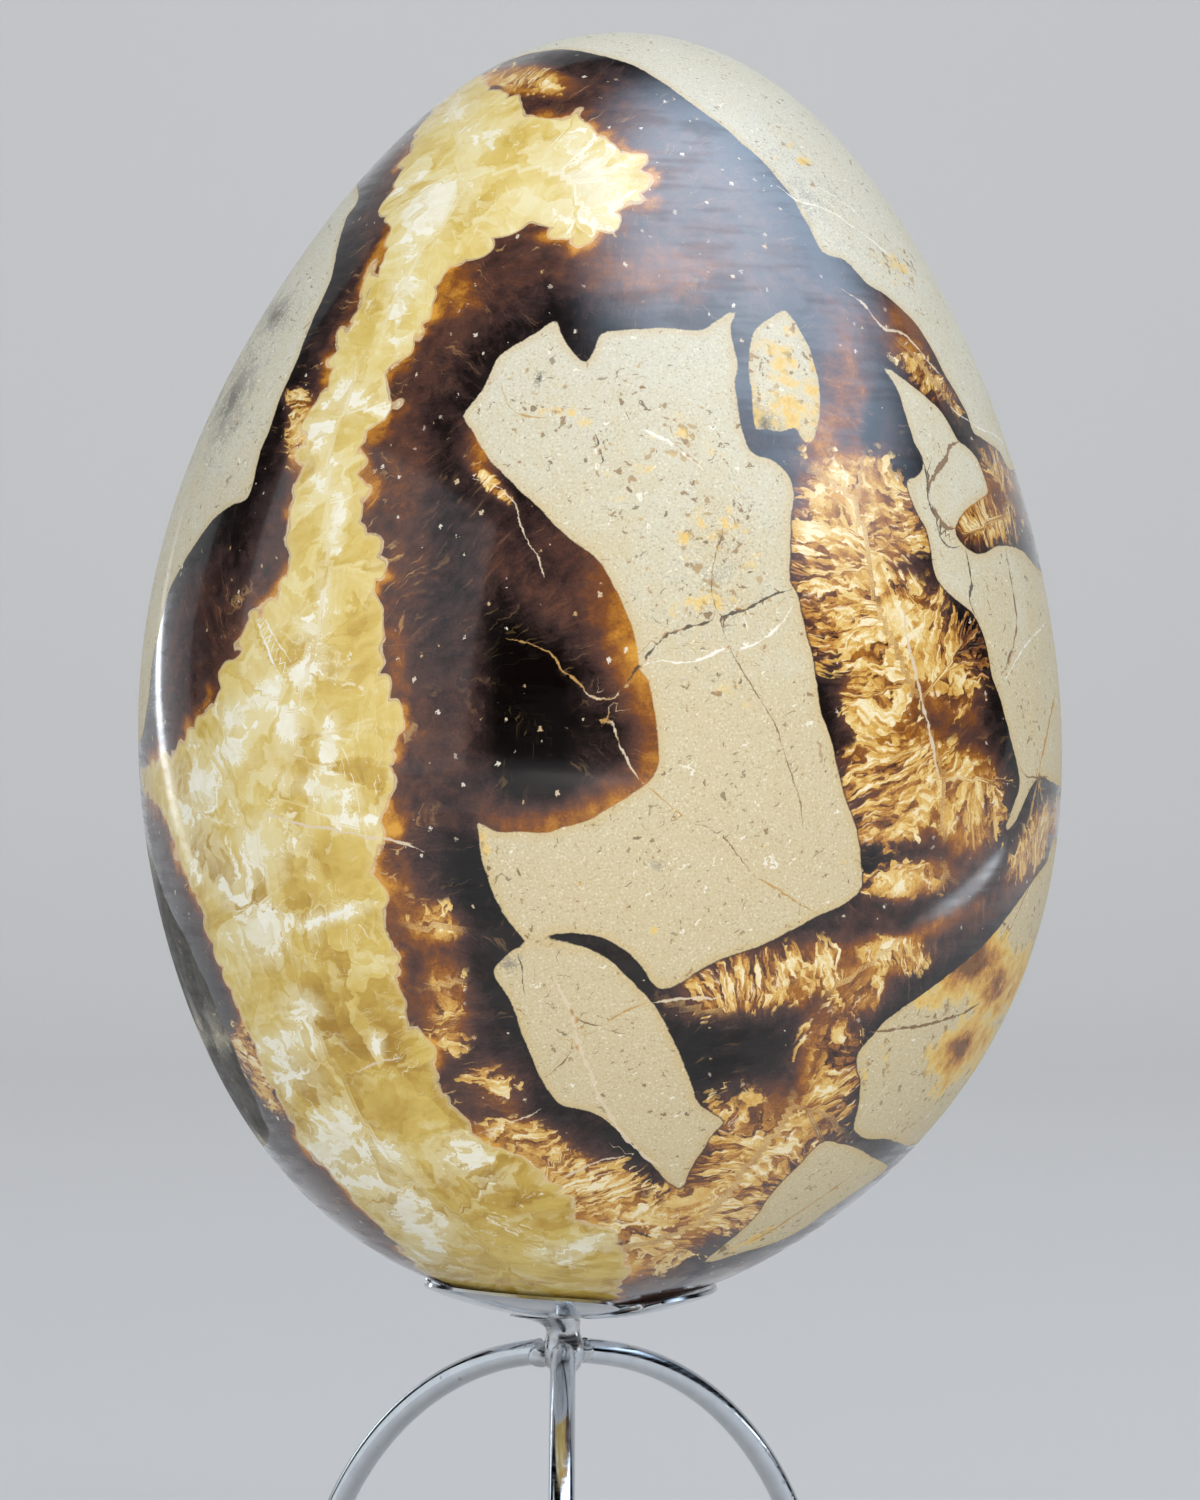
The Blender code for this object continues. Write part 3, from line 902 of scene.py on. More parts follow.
class Wiring:
    """Adds nodes to one tree and joins them, so that a finish reads as a list of steps."""

    def __init__(self, tree: bpy.types.NodeTree) -> None:
        """Keeps the tree that the nodes go into."""
        self.tree = tree

    def node(self, kind: str, **settings: object) -> bpy.types.Node:
        """Adds a node.

        Args:
            kind: Blender's name for the kind of node.
            **settings: The node's own properties.

        Returns:
            The new node.
        """
        made = self.tree.nodes.new(kind)
        for name, value in settings.items():
            setattr(made, name, value)
        return made

    def put(self, socket: Socket, value: object) -> None:
        """Feeds a socket.

        Args:
            socket: The socket that takes the value.
            value: Another socket, which is joined to it, or a plain value, which is set on it.
        """
        if isinstance(value, Socket):
            self.tree.links.new(value, socket)
        else:
            socket.default_value = value

    def fed(self, kind: str, values: tuple, **settings: object) -> bpy.types.Node:
        """Adds a node and feeds its first sockets.

        Args:
            kind: Blender's name for the kind of node.
            values: What goes to its sockets, in their order.
            **settings: The node's own properties.

        Returns:
            The new node.
        """
        made = self.node(kind, **settings)
        for socket, value in zip(made.inputs, values):
            self.put(socket, value)
        return made

    def maths(self, operation: str, *values: object) -> Socket:
        """One step of arithmetic on up to three values."""
        return self.fed("ShaderNodeMath", values, operation=operation).outputs[0]

    def add(self, *values: object) -> Socket:
        """Adds up any number of values.

        Args:
            *values: The values.

        Returns:
            Their sum.
        """
        total = values[0]
        for value in values[1:]:
            total = self.maths("ADD", total, value)
        return total

    def times(self, a: object, b: object) -> Socket:
        """The product of two values."""
        return self.maths("MULTIPLY", a, b)

    def swing(self, value: object, amount: float) -> Socket:
        """A pattern from 0 to 1 as a change from minus to plus half the amount."""
        return self.maths("MULTIPLY_ADD", value, amount, -amount / 2)

    def step(self, value: object, low: object, high: object, out: tuple = (0.0, 1.0)) -> Socket:
        """A smooth step of value from low to high.

        Args:
            value: What is measured.
            low: Where the step starts.
            high: Where it ends.
            out: The result at the start and at the end.

        Returns:
            The stepped value.
        """
        made = self.node("ShaderNodeMapRange", interpolation_type="SMOOTHSTEP")
        for name, given in (("Value", value), ("From Min", low), ("From Max", high)):
            self.put(made.inputs[name], given)
        made.inputs["To Min"].default_value = out[0]
        made.inputs["To Max"].default_value = out[1]
        return made.outputs["Result"]

    def field(self, name: str) -> Socket:
        """A measure that the mesh carries at its vertices."""
        return self.node("ShaderNodeAttribute", attribute_name=name).outputs["Fac"]

    def vector(self, x: object, y: object, z: object = 0.0) -> Socket:
        """A vector from its three parts."""
        return self.fed("ShaderNodeCombineXYZ", (x, y, z)).outputs[0]

    def vectors(self, operation: str, *values: object) -> Socket:
        """One step of arithmetic on up to three vectors."""
        made = self.fed("ShaderNodeVectorMath", values, operation=operation)
        return made.outputs["Value" if operation == "DOT_PRODUCT" else "Vector"]

    def scaled(self, vector: Socket, factors: tuple[float, float, float]) -> Socket:
        """A vector multiplied part by part."""
        return self.vectors("MULTIPLY", vector, factors)

    def parts(self, colour: Socket) -> Sockets:
        """The three parts of a colour, such as the random ones of a cell."""
        return self.fed("ShaderNodeSeparateColor", (colour,)).outputs

    def millimetres(self) -> Socket:
        """Where a point of the piece is, in millimetres."""
        place = self.node("ShaderNodeTexCoord").outputs["Object"]
        return self.scaled(place, (1000.0, 1000.0, 1000.0))

    def drift(self, vector: Socket, scale: float) -> Socket:
        """A wandering vector to bend a pattern with.

        Args:
            vector: Where it is read.
            scale: How many turns there are to a unit.

        Returns:
            The vector, each part from minus to plus a half.
        """
        made = self.node("ShaderNodeTexNoise")
        self.put(made.inputs["Vector"], vector)
        made.inputs["Scale"].default_value = scale
        made.inputs["Detail"].default_value = 3.0
        return self.vectors("SUBTRACT", made.outputs["Color"], (0.5, 0.5, 0.5))

    def noise(self, vector: Socket, scale: float, detail: float = 2.0, twist: float = 0.0) -> Socket:
        """Cloudy noise from 0 to 1.

        Args:
            vector: Where it is read.
            scale: How many clouds there are to a unit.
            detail: How many finer layers it has.
            twist: How strongly it is distorted.

        Returns:
            The noise.
        """
        made = self.node("ShaderNodeTexNoise")
        self.put(made.inputs["Vector"], vector)
        made.inputs["Scale"].default_value = scale
        made.inputs["Detail"].default_value = detail
        made.inputs["Distortion"].default_value = twist
        return made.outputs["Fac"]

    def cells(self, vector: Socket, scale: float, flat: bool = False) -> bpy.types.Node:
        """Irregular cells.

        Args:
            vector: Where they are read.
            scale: How many cells there are to a unit.
            flat: Whether they are told apart by x and y alone.

        Returns:
            The cells' node.
        """
        made = self.node("ShaderNodeTexVoronoi", voronoi_dimensions="2D" if flat else "3D")
        self.put(made.inputs["Vector"], vector)
        made.inputs["Scale"].default_value = scale
        return made

    def ramp(self, value: Socket, stops: tuple[tuple[float, Colour], ...]) -> Socket:
        """Colours along a value.

        Args:
            value: What the colour follows.
            stops: Each colour after the value that it stands at.

        Returns:
            The colour.
        """
        made = self.node("ShaderNodeValToRGB")
        self.put(made.inputs[0], value)
        points = made.color_ramp.elements
        while len(points) < len(stops):
            points.new(1.0)
        for point, (place, colour) in zip(points, stops):
            point.position = place
            point.color = colour
        return made.outputs["Color"]

    def blend(self, share: object, a: object, b: object, mode: str = "MIX") -> Socket:
        """Colour b laid over colour a.

        Args:
            share: How much of b shows, from 0 to 1.
            a: The colour below.
            b: The colour above.
            mode: Blender's name for how the colours mix.

        Returns:
            The mixed colour.
        """
        made = self.node("ShaderNodeMix", data_type="RGBA", blend_type=mode)
        self.put(made.inputs["Factor"], share)
        self.put(made.inputs["A"], a)
        self.put(made.inputs["B"], b)
        return made.outputs["Result"]

    def between(self, share: object, a: object, b: object) -> Socket:
        """A value between two others.

        Args:
            share: How far it is from a to b, from 0 to 1.
            a: The value at 0.
            b: The value at 1.

        Returns:
            The value.
        """
        made = self.node("ShaderNodeMix", data_type="FLOAT")
        for name, value in (("Factor", share), ("A", a), ("B", b)):
            self.put(made.inputs[name], value)
        return made.outputs["Result"]

    def bump(self, height: Socket, strength: float, distance: float) -> Socket:
        """The surface's normal over a relief.

        Args:
            height: The relief, from 0 to 1.
            strength: How strongly it shows.
            distance: How deep it is, in metres.

        Returns:
            The normal.
        """
        made = self.node("ShaderNodeBump")
        made.inputs["Strength"].default_value = strength
        made.inputs["Distance"].default_value = distance
        self.put(made.inputs["Height"], height)
        return made.outputs["Normal"]

    def group(self, effect: "Effect", **inputs: object) -> bpy.types.Node:
        """Places a node group.

        Args:
            effect: The effect whose group it is.
            **inputs: A value or a socket for each input, with _ for each space of its name.

        Returns:
            The group's node, whose outputs have the effect's names.
        """
        made = self.node("ShaderNodeGroup", node_tree=effect.tree)
        for name, value in inputs.items():
            self.put(made.inputs[name.replace("_", " ")], value)
        return made


class Effect:
    """A surface effect as a shader node group, built once."""

    title = "effect"
    takes: tuple[tuple[str, str, object], ...] = ()
    gives: tuple[tuple[str, str], ...] = ()

    def __init__(self) -> None:
        """Makes the group's sockets, and then its nodes."""
        self.tree = bpy.data.node_groups.new(self.title, "ShaderNodeTree")
        for name, kind, value in self.takes:
            made = self.tree.interface.new_socket(name, in_out="INPUT", socket_type="NodeSocket" + kind)
            if value is not None:
                made.default_value = value
        for name, kind in self.gives:
            self.tree.interface.new_socket(name, in_out="OUTPUT", socket_type="NodeSocket" + kind)
        wiring = Wiring(self.tree)
        given = wiring.node("NodeGroupInput").outputs
        result = wiring.node("NodeGroupOutput").inputs
        for name, socket in self.wire(wiring, given).items():
            self.tree.links.new(socket, result[name])

    def wire(self, w: Wiring, given: Sockets) -> dict[str, Socket]:
        """Adds the group's nodes.

        Args:
            w: Puts nodes in the group.
            given: The group's inputs by name.

        Returns:
            What goes to each of the group's outputs.
        """
        raise NotImplementedError


class Specks(Effect):
    """Scattered grains: dark or pale dots of uneven size, each in a cell of its own."""

    title = "specks"
    takes = (
        ("Place", "Vector", None), ("Ragged", "Float", 0.5), ("Share", "Float", 0.3),
        ("Size", "Float", 0.25),
    )
    gives = (("Mask", "Float"), ("Random", "Float"))

    def wire(self, w: Wiring, given: Sockets) -> dict[str, Socket]:
        """Adds the group's nodes.

        Args:
            w: Puts nodes in the group.
            given: The group's inputs by name.

        Returns:
            What goes to each of the group's outputs.
        """
        cells = w.cells(given["Place"], 1.0)
        draw = w.parts(cells.outputs["Color"])
        chosen = w.maths("LESS_THAN", draw[0], given["Share"])
        reach = w.times(given["Size"], w.add(draw[1], 0.35))
        edge = w.add(cells.outputs["Distance"], w.swing(given["Ragged"], 0.75))
        mask = w.step(w.maths("SUBTRACT", edge, reach), 0.04, -0.04)
        return {"Mask": w.times(mask, chosen), "Random": draw[2]}


class PolishHaze(Effect):
    """The faint, uneven haze of a hand polish: wiped arcs, finger marks and fine dust."""

    title = "polish haze"
    takes = (("Place", "Vector", None), ("Cloud", "Float", 0.5), ("Amount", "Float", 0.1))
    gives = (("Roughness", "Float"),)

    def wire(self, w: Wiring, given: Sockets) -> dict[str, Socket]:
        """Adds the group's nodes.

        Args:
            w: Puts nodes in the group.
            given: The group's inputs by name.

        Returns:
            What goes to each of the group's outputs.
        """
        wiped = w.noise(w.scaled(given["Place"], (0.25, 0.25, 2.2)), 0.5, 1.0)
        haze = w.step(w.add(w.times(given["Cloud"], 0.6), w.times(wiped, 0.4)), 0.40, 0.64)
        return {"Roughness": w.times(haze, given["Amount"])}


class Unevenness(Effect):
    """Clouds, mottling and grain through the whole stone, worked out once for all its minerals."""

    title = "unevenness"
    takes = (("Place", "Vector", None),)
    gives = (("Cloud", "Float"), ("Mottle", "Float"), ("Grain", "Float"), ("Drift", "Vector"))

    def wire(self, w: Wiring, given: Sockets) -> dict[str, Socket]:
        """Adds the group's nodes.

        Args:
            w: Puts nodes in the group.
            given: The group's inputs by name.

        Returns:
            What goes to each of the group's outputs.
        """
        place = given["Place"]
        return {
            "Cloud": w.noise(place, 0.15, 3.0),
            "Mottle": w.noise(place, 0.62, 4.0),
            "Grain": w.noise(place, 4.0, 1.0),
            "Drift": w.drift(place, 0.4),
        }


class Growth(Effect):
    """Fibres that grew in from the walls of a vein, and the broken faces of its crystals."""

    title = "growth"
    takes = (
        ("Place", "Vector", None),
        ("Along", "Float", 0.0),
        ("Deep", "Float", 0.0),
        ("Spar", "Float", 0.0),
        ("Mottle", "Float", 0.5),
        ("Drift", "Vector", None),
    )
    gives = (("Strands", "Float"), ("Fine", "Float"), ("Face", "Float"), ("Facet", "Float"),
             ("Chip", "Float"), ("Bent", "Vector"))

    def wire(self, w: Wiring, given: Sockets) -> dict[str, Socket]:
        """Adds the group's nodes.

        Args:
            w: Puts nodes in the group.
            given: The group's inputs by name.

        Returns:
            What goes to each of the group's outputs.
        """
        place = given["Place"]
        lean = w.noise(place, 0.13, 0.0)
        along = w.add(given["Along"], w.swing(lean, 4.0), w.swing(given["Mottle"], 1.3))
        deep = w.add(given["Deep"], w.swing(given["Mottle"], 2.0))
        large = w.vector(
            w.times(along, w.between(given["Spar"], 0.95, 0.30)),
            w.times(deep, w.between(given["Spar"], 0.36, 0.22)),
        )
        face = w.parts(w.cells(large, 1.0, True).outputs["Color"])
        chip = w.parts(w.cells(large, 2.9, True).outputs["Color"])[1]
        return {
            "Strands": w.noise(w.vector(w.times(along, 0.8), w.times(deep, 0.12), 3.0), 1.0, 3.0),
            "Fine": w.noise(w.vector(w.times(along, 3.2), w.times(deep, 0.30), 9.0), 1.0, 2.0),
            "Face": face[0],
            "Facet": w.add(w.times(face[1], 0.55), w.times(chip, 0.45)),
            "Chip": chip,
            "Bent": w.vectors("MULTIPLY_ADD", given["Drift"], (2.6, 2.6, 2.6), place),
        }


SHARED = (
    ("Place", "Vector", None), ("Cloud", "Float", 0.5), ("Mottle", "Float", 0.5), ("Grain", "Float", 0.5),
)
GROWN = SHARED + (("Strands", "Float", 0.5), ("Fine", "Float", 0.5), ("Face", "Float", 0.5),
                  ("Facet", "Float", 0.5), ("Chip", "Float", 0.5), ("Bent", "Vector", None))


class Limestone(Effect):
    """The clasts: fine beige limestone with grains, short scratches and rust."""

    title = "limestone"
    takes = SHARED + (
        ("Depth", "Float", 0.0),
        ("Rust", "Float", -1.0),
        ("Smoke", "Float", -1.0),
        ("Rise", "Float", 0.5),
        ("Drift", "Vector", None),
    )
    gives = (("Colour", "Color"),)

    def wire(self, w: Wiring, given: Sockets) -> dict[str, Socket]:
        """Adds the group's nodes.

        Args:
            w: Puts nodes in the group.
            given: The group's inputs by name.

        Returns:
            What goes to each of the group's outputs.
        """
        place, mottle, grain = given["Place"], given["Mottle"], given["Grain"]
        warm = w.add(given["Rise"], w.swing(given["Cloud"], 0.7), w.swing(mottle, 0.5))
        colour = w.ramp(warm, (
            (0.12, (0.60, 0.51, 0.32, 1)),
            (0.45, (0.60, 0.525, 0.35, 1)),
            (0.72, (0.61, 0.575, 0.44, 1)),
            (1.0, (0.62, 0.605, 0.51, 1)),
        ))
        colour = w.blend(w.step(grain, 0.54, 0.78, (0.0, 0.6)), colour, (0.40, 0.31, 0.16, 1))
        colour = w.blend(w.step(grain, 0.44, 0.24, (0.0, 0.6)), colour, (0.80, 0.76, 0.62, 1))
        slope = w.node("ShaderNodeVectorRotate", rotation_type="Y_AXIS")
        w.put(slope.inputs["Vector"], place)
        slope.inputs["Angle"].default_value = radians(28.0)
        bent = w.vectors("MULTIPLY_ADD", given["Drift"], (5.0, 5.0, 5.0), slope.outputs[0])
        dashes = w.group(
            EFFECTS["specks"], Place=w.scaled(bent, (0.6, 0.6, 2.2)), Ragged=grain, Share=0.30, Size=0.24,
        )
        ink = w.ramp(dashes.outputs["Random"], (
            (0.0, (0.16, 0.11, 0.06, 1)), (0.60, (0.26, 0.19, 0.11, 1)), (0.68, (0.86, 0.84, 0.74, 1)),
        ))
        colour = w.blend(w.times(dashes.outputs["Mask"], 0.7), colour, ink)
        edge = w.step(w.add(given["Depth"], w.swing(mottle, 1.6)), -1.3, -0.1)
        colour = w.blend(w.times(edge, 0.32), colour, (0.56, 0.38, 0.13, 1))
        uneven = w.step(given["Cloud"], 0.41, 0.56, (0.66, 1.0))
        smoky = w.maths("MINIMUM", given["Smoke"], w.times(given["Smoke"], uneven))
        smoke = w.step(w.add(smoky, w.swing(mottle, 2.0), w.swing(grain, 1.6)), 0.0, 0.8)
        dark = w.ramp(w.add(w.times(mottle, 0.6), w.times(grain, 0.4)), (
            (0.42, (0.10, 0.10, 0.09, 1)), (0.60, (0.36, 0.34, 0.29, 1)),
        ))
        dark = w.blend(w.step(smoky, 0.4, 1.2), dark, (0.20, 0.19, 0.18, 1), "MULTIPLY")
        colour = w.blend(w.times(smoke, w.step(smoky, 0.0, 1.0, (0.7, 0.97))), colour, dark)
        share = w.step(given["Rust"], -0.1, 0.5, (0.16, 0.52))
        freckles = w.group(
            EFFECTS["specks"], Place=w.scaled(bent, (1.1, 1.1, 0.9)), Ragged=grain, Share=share,
            Size=w.step(given["Rust"], -0.3, 0.3, (0.24, 0.46)),
        )
        freckle = w.ramp(freckles.outputs["Random"], (
            (0.0, (0.15, 0.09, 0.04, 1)), (0.5, (0.30, 0.17, 0.07, 1)), (1.0, (0.50, 0.36, 0.17, 1)),
        ))
        colour = w.blend(w.times(freckles.outputs["Mask"], 0.78), colour, freckle)
        rusty = w.maths("MINIMUM", given["Rust"], w.times(given["Rust"], uneven))
        stain = w.step(w.add(rusty, w.swing(mottle, 1.8)), 0.22, 0.7)
        soaked = w.add(w.times(rusty, 0.60), w.swing(mottle, 0.9), w.swing(grain, 0.3))
        rust = w.ramp(soaked, (
            (0.0, (0.80, 0.64, 0.32, 1)), (0.38, (0.77, 0.54, 0.16, 1)), (0.66, (0.62, 0.32, 0.065, 1)),
            (0.84, (0.36, 0.14, 0.04, 1)), (1.0, (0.16, 0.06, 0.022, 1)),
        ))
        return {"Colour": w.blend(w.times(stain, 0.88), colour, rust)}


class Crystals(Effect):
    """Golden crystals grown into each other, with pale needles and brown hollows between them."""

    title = "golden crystals"
    takes = GROWN + (
        ("Depth", "Float", 3.0),
        ("Level", "Float", -1.0),
        ("Lightness", "Float", 0.0),
    )
    gives = (("Colour", "Color"), ("Mask", "Float"))

    def wire(self, w: Wiring, given: Sockets) -> dict[str, Socket]:
        """Adds the group's nodes.

        Args:
            w: Puts nodes in the group.
            given: The group's inputs by name.

        Returns:
            What goes to each of the group's outputs.
        """
        facet, fine = given["Facet"], given["Fine"]
        shade = w.add(
            w.swing(facet, 1.0),
            w.swing(fine, 0.60),
            w.swing(given["Grain"], 0.25),
            w.swing(given["Mottle"], 0.36),
            w.swing(given["Cloud"], 0.55),
            w.times(given["Lightness"], 0.7),
            w.times(w.maths("MINIMUM", given["Level"], 0.5), 0.30),
            w.step(given["Depth"], 0.0, 2.4, (0.29, 0.47)),
        )
        colour = w.ramp(shade, (
            (0.0, (0.022, 0.011, 0.009, 1)),
            (0.18, (0.105, 0.040, 0.018, 1)),
            (0.34, (0.26, 0.100, 0.028, 1)),
            (0.48, (0.47, 0.215, 0.042, 1)),
            (0.64, (0.66, 0.395, 0.095, 1)),
            (0.82, (0.78, 0.58, 0.23, 1)),
            (1.0, (0.87, 0.77, 0.52, 1)),
        ))
        needles = w.times(w.step(fine, 0.60, 0.67), w.step(shade, 0.2, 0.6, (0.15, 0.6)))
        colour = w.blend(needles, colour, (0.88, 0.78, 0.56, 1))
        ragged = w.add(w.swing(facet, 1.0), w.swing(given["Strands"], 0.7), w.swing(given["Mottle"], 0.8))
        return {"Colour": colour, "Mask": w.step(w.add(given["Level"], ragged), -0.12, 0.16)}


class Aragonite(Effect):
    """The brown rims of the veins: black by the clasts, amber at the calcite, fibres between."""

    title = "aragonite"
    takes = GROWN + (
        ("Depth", "Float", 3.0),
        ("To Calcite", "Float", 9.0),
        ("Lightness", "Float", 0.0),
        ("Gold", "Float", -1.0),
        ("Glow", "Float", 0.0),
    )
    gives = (("Colour", "Color"),)

    def wire(self, w: Wiring, given: Sockets) -> dict[str, Socket]:
        """Adds the group's nodes.

        Args:
            w: Puts nodes in the group.
            given: The group's inputs by name.

        Returns:
            What goes to each of the group's outputs.
        """
        depth, strands, fine = given["Depth"], given["Strands"], given["Fine"]
        cloud = given["Cloud"]
        teeth = w.add(given["To Calcite"], w.swing(strands, 5.0), w.swing(fine, 2.2))
        amber = w.times(w.step(teeth, 2.6, 0.0), w.step(cloud, 0.40, 0.58, (0.25, 1.05)))
        glow = w.times(given["Glow"], w.step(w.add(depth, w.swing(fine, 1.6)), 5.2, -0.6))
        tone = w.add(
            w.step(depth, 0.2, 6.5, (0.15, 0.44)),
            w.times(amber, 0.42),
            w.times(glow, 0.95),
            w.step(given["Gold"], -0.8, 0.2, (0.0, 0.36)),
            given["Lightness"],
            w.swing(strands, 0.26),
            w.swing(fine, 0.26),
            w.swing(given["Mottle"], 0.44),
            w.swing(given["Grain"], 0.20),
            w.swing(cloud, 0.30),
        )
        colour = w.ramp(tone, (
            (0.0, (0.003, 0.0015, 0.001, 1)),
            (0.18, (0.012, 0.007, 0.006, 1)),
            (0.36, (0.044, 0.023, 0.020, 1)),
            (0.54, (0.105, 0.045, 0.030, 1)),
            (0.70, (0.215, 0.072, 0.018, 1)),
            (0.85, (0.43, 0.175, 0.022, 1)),
            (1.0, (0.66, 0.33, 0.045, 1)),
        ))
        threads = w.times(w.step(fine, 0.58, 0.66), w.step(strands, 0.50, 0.62))
        threads = w.times(threads, w.step(given["To Calcite"], 7.0, 0.5, (0.12, 0.7)))
        colour = w.blend(threads, colour, (0.62, 0.38, 0.14, 1))
        bits = w.group(
            EFFECTS["specks"], Place=w.scaled(given["Place"], (1.1, 1.1, 0.9)), Ragged=given["Grain"],
            Share=0.10, Size=0.20,
        )
        bit = w.ramp(bits.outputs["Random"], (
            (0.2, (0.78, 0.72, 0.60, 1)), (0.6, (0.58, 0.38, 0.16, 1)), (0.9, (0.40, 0.34, 0.28, 1)),
        ))
        colour = w.blend(w.times(bits.outputs["Mask"], 0.8), colour, bit)
        gold = w.group(
            EFFECTS["golden crystals"], Depth=depth, Level=given["Gold"], Lightness=given["Lightness"],
            **{name: given[name] for name, _, _ in GROWN},
        )
        mask = w.times(gold.outputs["Mask"], w.step(depth, 0.0, 0.35))
        colour = w.blend(mask, colour, gold.outputs["Colour"])
        rim = w.maths("ABSOLUTE", w.add(given["To Calcite"], -0.16))
        line = w.times(w.step(rim, 0.24, 0.05), w.step(fine, 0.30, 0.55, (0.4, 1.0)))
        return {"Colour": w.blend(w.times(line, 0.8), colour, (0.74, 0.56, 0.33, 1))}


class Calcite(Effect):
    """The yellow spar in the middle of the veins: honey blocks, cream lines, white feathers."""

    title = "calcite"
    takes = GROWN + (
        ("Feather", "Float", -1.0),
        ("Honey", "Float", 0.0),
        ("Rise", "Float", 0.5),
        ("Depth", "Float", -3.0),
    )
    gives = (("Colour", "Color"),)

    def wire(self, w: Wiring, given: Sockets) -> dict[str, Socket]:
        """Adds the group's nodes.

        Args:
            w: Puts nodes in the group.
            given: The group's inputs by name.

        Returns:
            What goes to each of the group's outputs.
        """
        facet, strands, mottle, fine = (given[k] for k in ("Facet", "Strands", "Mottle", "Fine"))
        blocks = w.cells(w.scaled(given["Bent"], (0.15, 0.15, 0.10)), 1.0)
        draw = w.parts(blocks.outputs["Color"])
        tilt = w.vectors("SUBTRACT", blocks.outputs["Color"], (0.5, 0.5, 0.5))
        lines = w.vectors("DOT_PRODUCT", given["Bent"], w.vectors("NORMALIZE", tilt))
        striped = w.noise(w.vector(w.times(lines, 1.3), w.times(draw[1], 50.0)), 1.0, 2.0)
        shade = w.add(
            w.swing(draw[0], 0.20),
            w.swing(given["Face"], 0.26),
            w.swing(facet, 0.20),
            w.swing(striped, 0.30),
            w.swing(strands, 0.40),
            w.swing(fine, 0.16),
            w.swing(given["Cloud"], 0.60),
            w.times(given["Rise"], 0.34),
            given["Honey"],
            0.35,
        )
        colour = w.ramp(shade, (
            (0.0, (0.37, 0.21, 0.030, 1)),
            (0.25, (0.52, 0.34, 0.065, 1)),
            (0.48, (0.645, 0.475, 0.125, 1)),
            (0.70, (0.72, 0.575, 0.210, 1)),
            (0.88, (0.77, 0.665, 0.33, 1)),
            (1.0, (0.81, 0.73, 0.44, 1)),
        ))
        cleft = w.step(w.maths("ABSOLUTE", w.add(striped, -0.5)), 0.014, 0.003)
        cleft = w.times(cleft, w.times(
            w.step(draw[2], 0.40, 0.46, (0.0, 0.75)), w.step(mottle, 0.46, 0.54)
        ))
        colour = w.blend(cleft, colour, (0.86, 0.80, 0.58, 1))
        rim = w.step(w.add(given["Depth"], w.swing(mottle, 1.6)), -1.1, -0.1, (0.0, 0.45))
        colour = w.blend(rim, colour, (0.70, 0.57, 0.27, 1))
        raised = w.add(given["Feather"], w.swing(facet, 2.3), w.swing(strands, 1.1), w.swing(mottle, 1.0))
        colour = w.blend(w.step(raised, -0.95, 0.40, (0.0, 0.60)), colour, (0.79, 0.71, 0.43, 1))
        raised = w.add(raised, w.swing(fine, 1.0), w.swing(given["Grain"], 0.8))
        white = w.step(raised, 0.46, 0.54, (0.0, 0.85))
        plume = w.ramp(w.add(w.times(given["Chip"], 0.6), w.swing(fine, 0.9), 0.2), (
            (0.10, (0.72, 0.63, 0.36, 1)), (0.42, (0.81, 0.76, 0.56, 1)), (0.80, (0.90, 0.88, 0.77, 1)),
        ))
        return {"Colour": w.blend(white, colour, plume)}


EFFECTS: dict[str, Effect] = {}


def new_material(title: str) -> tuple[bpy.types.Material, Wiring, bpy.types.Node]:
    """Starts a material.

    Args:
        title: Its name.

    Returns:
        The material, the wiring of its nodes, and its shader.
    """
    made = bpy.data.materials.new(title)
    made.use_nodes = True
    return made, Wiring(made.node_tree), made.node_tree.nodes["Principled BSDF"]


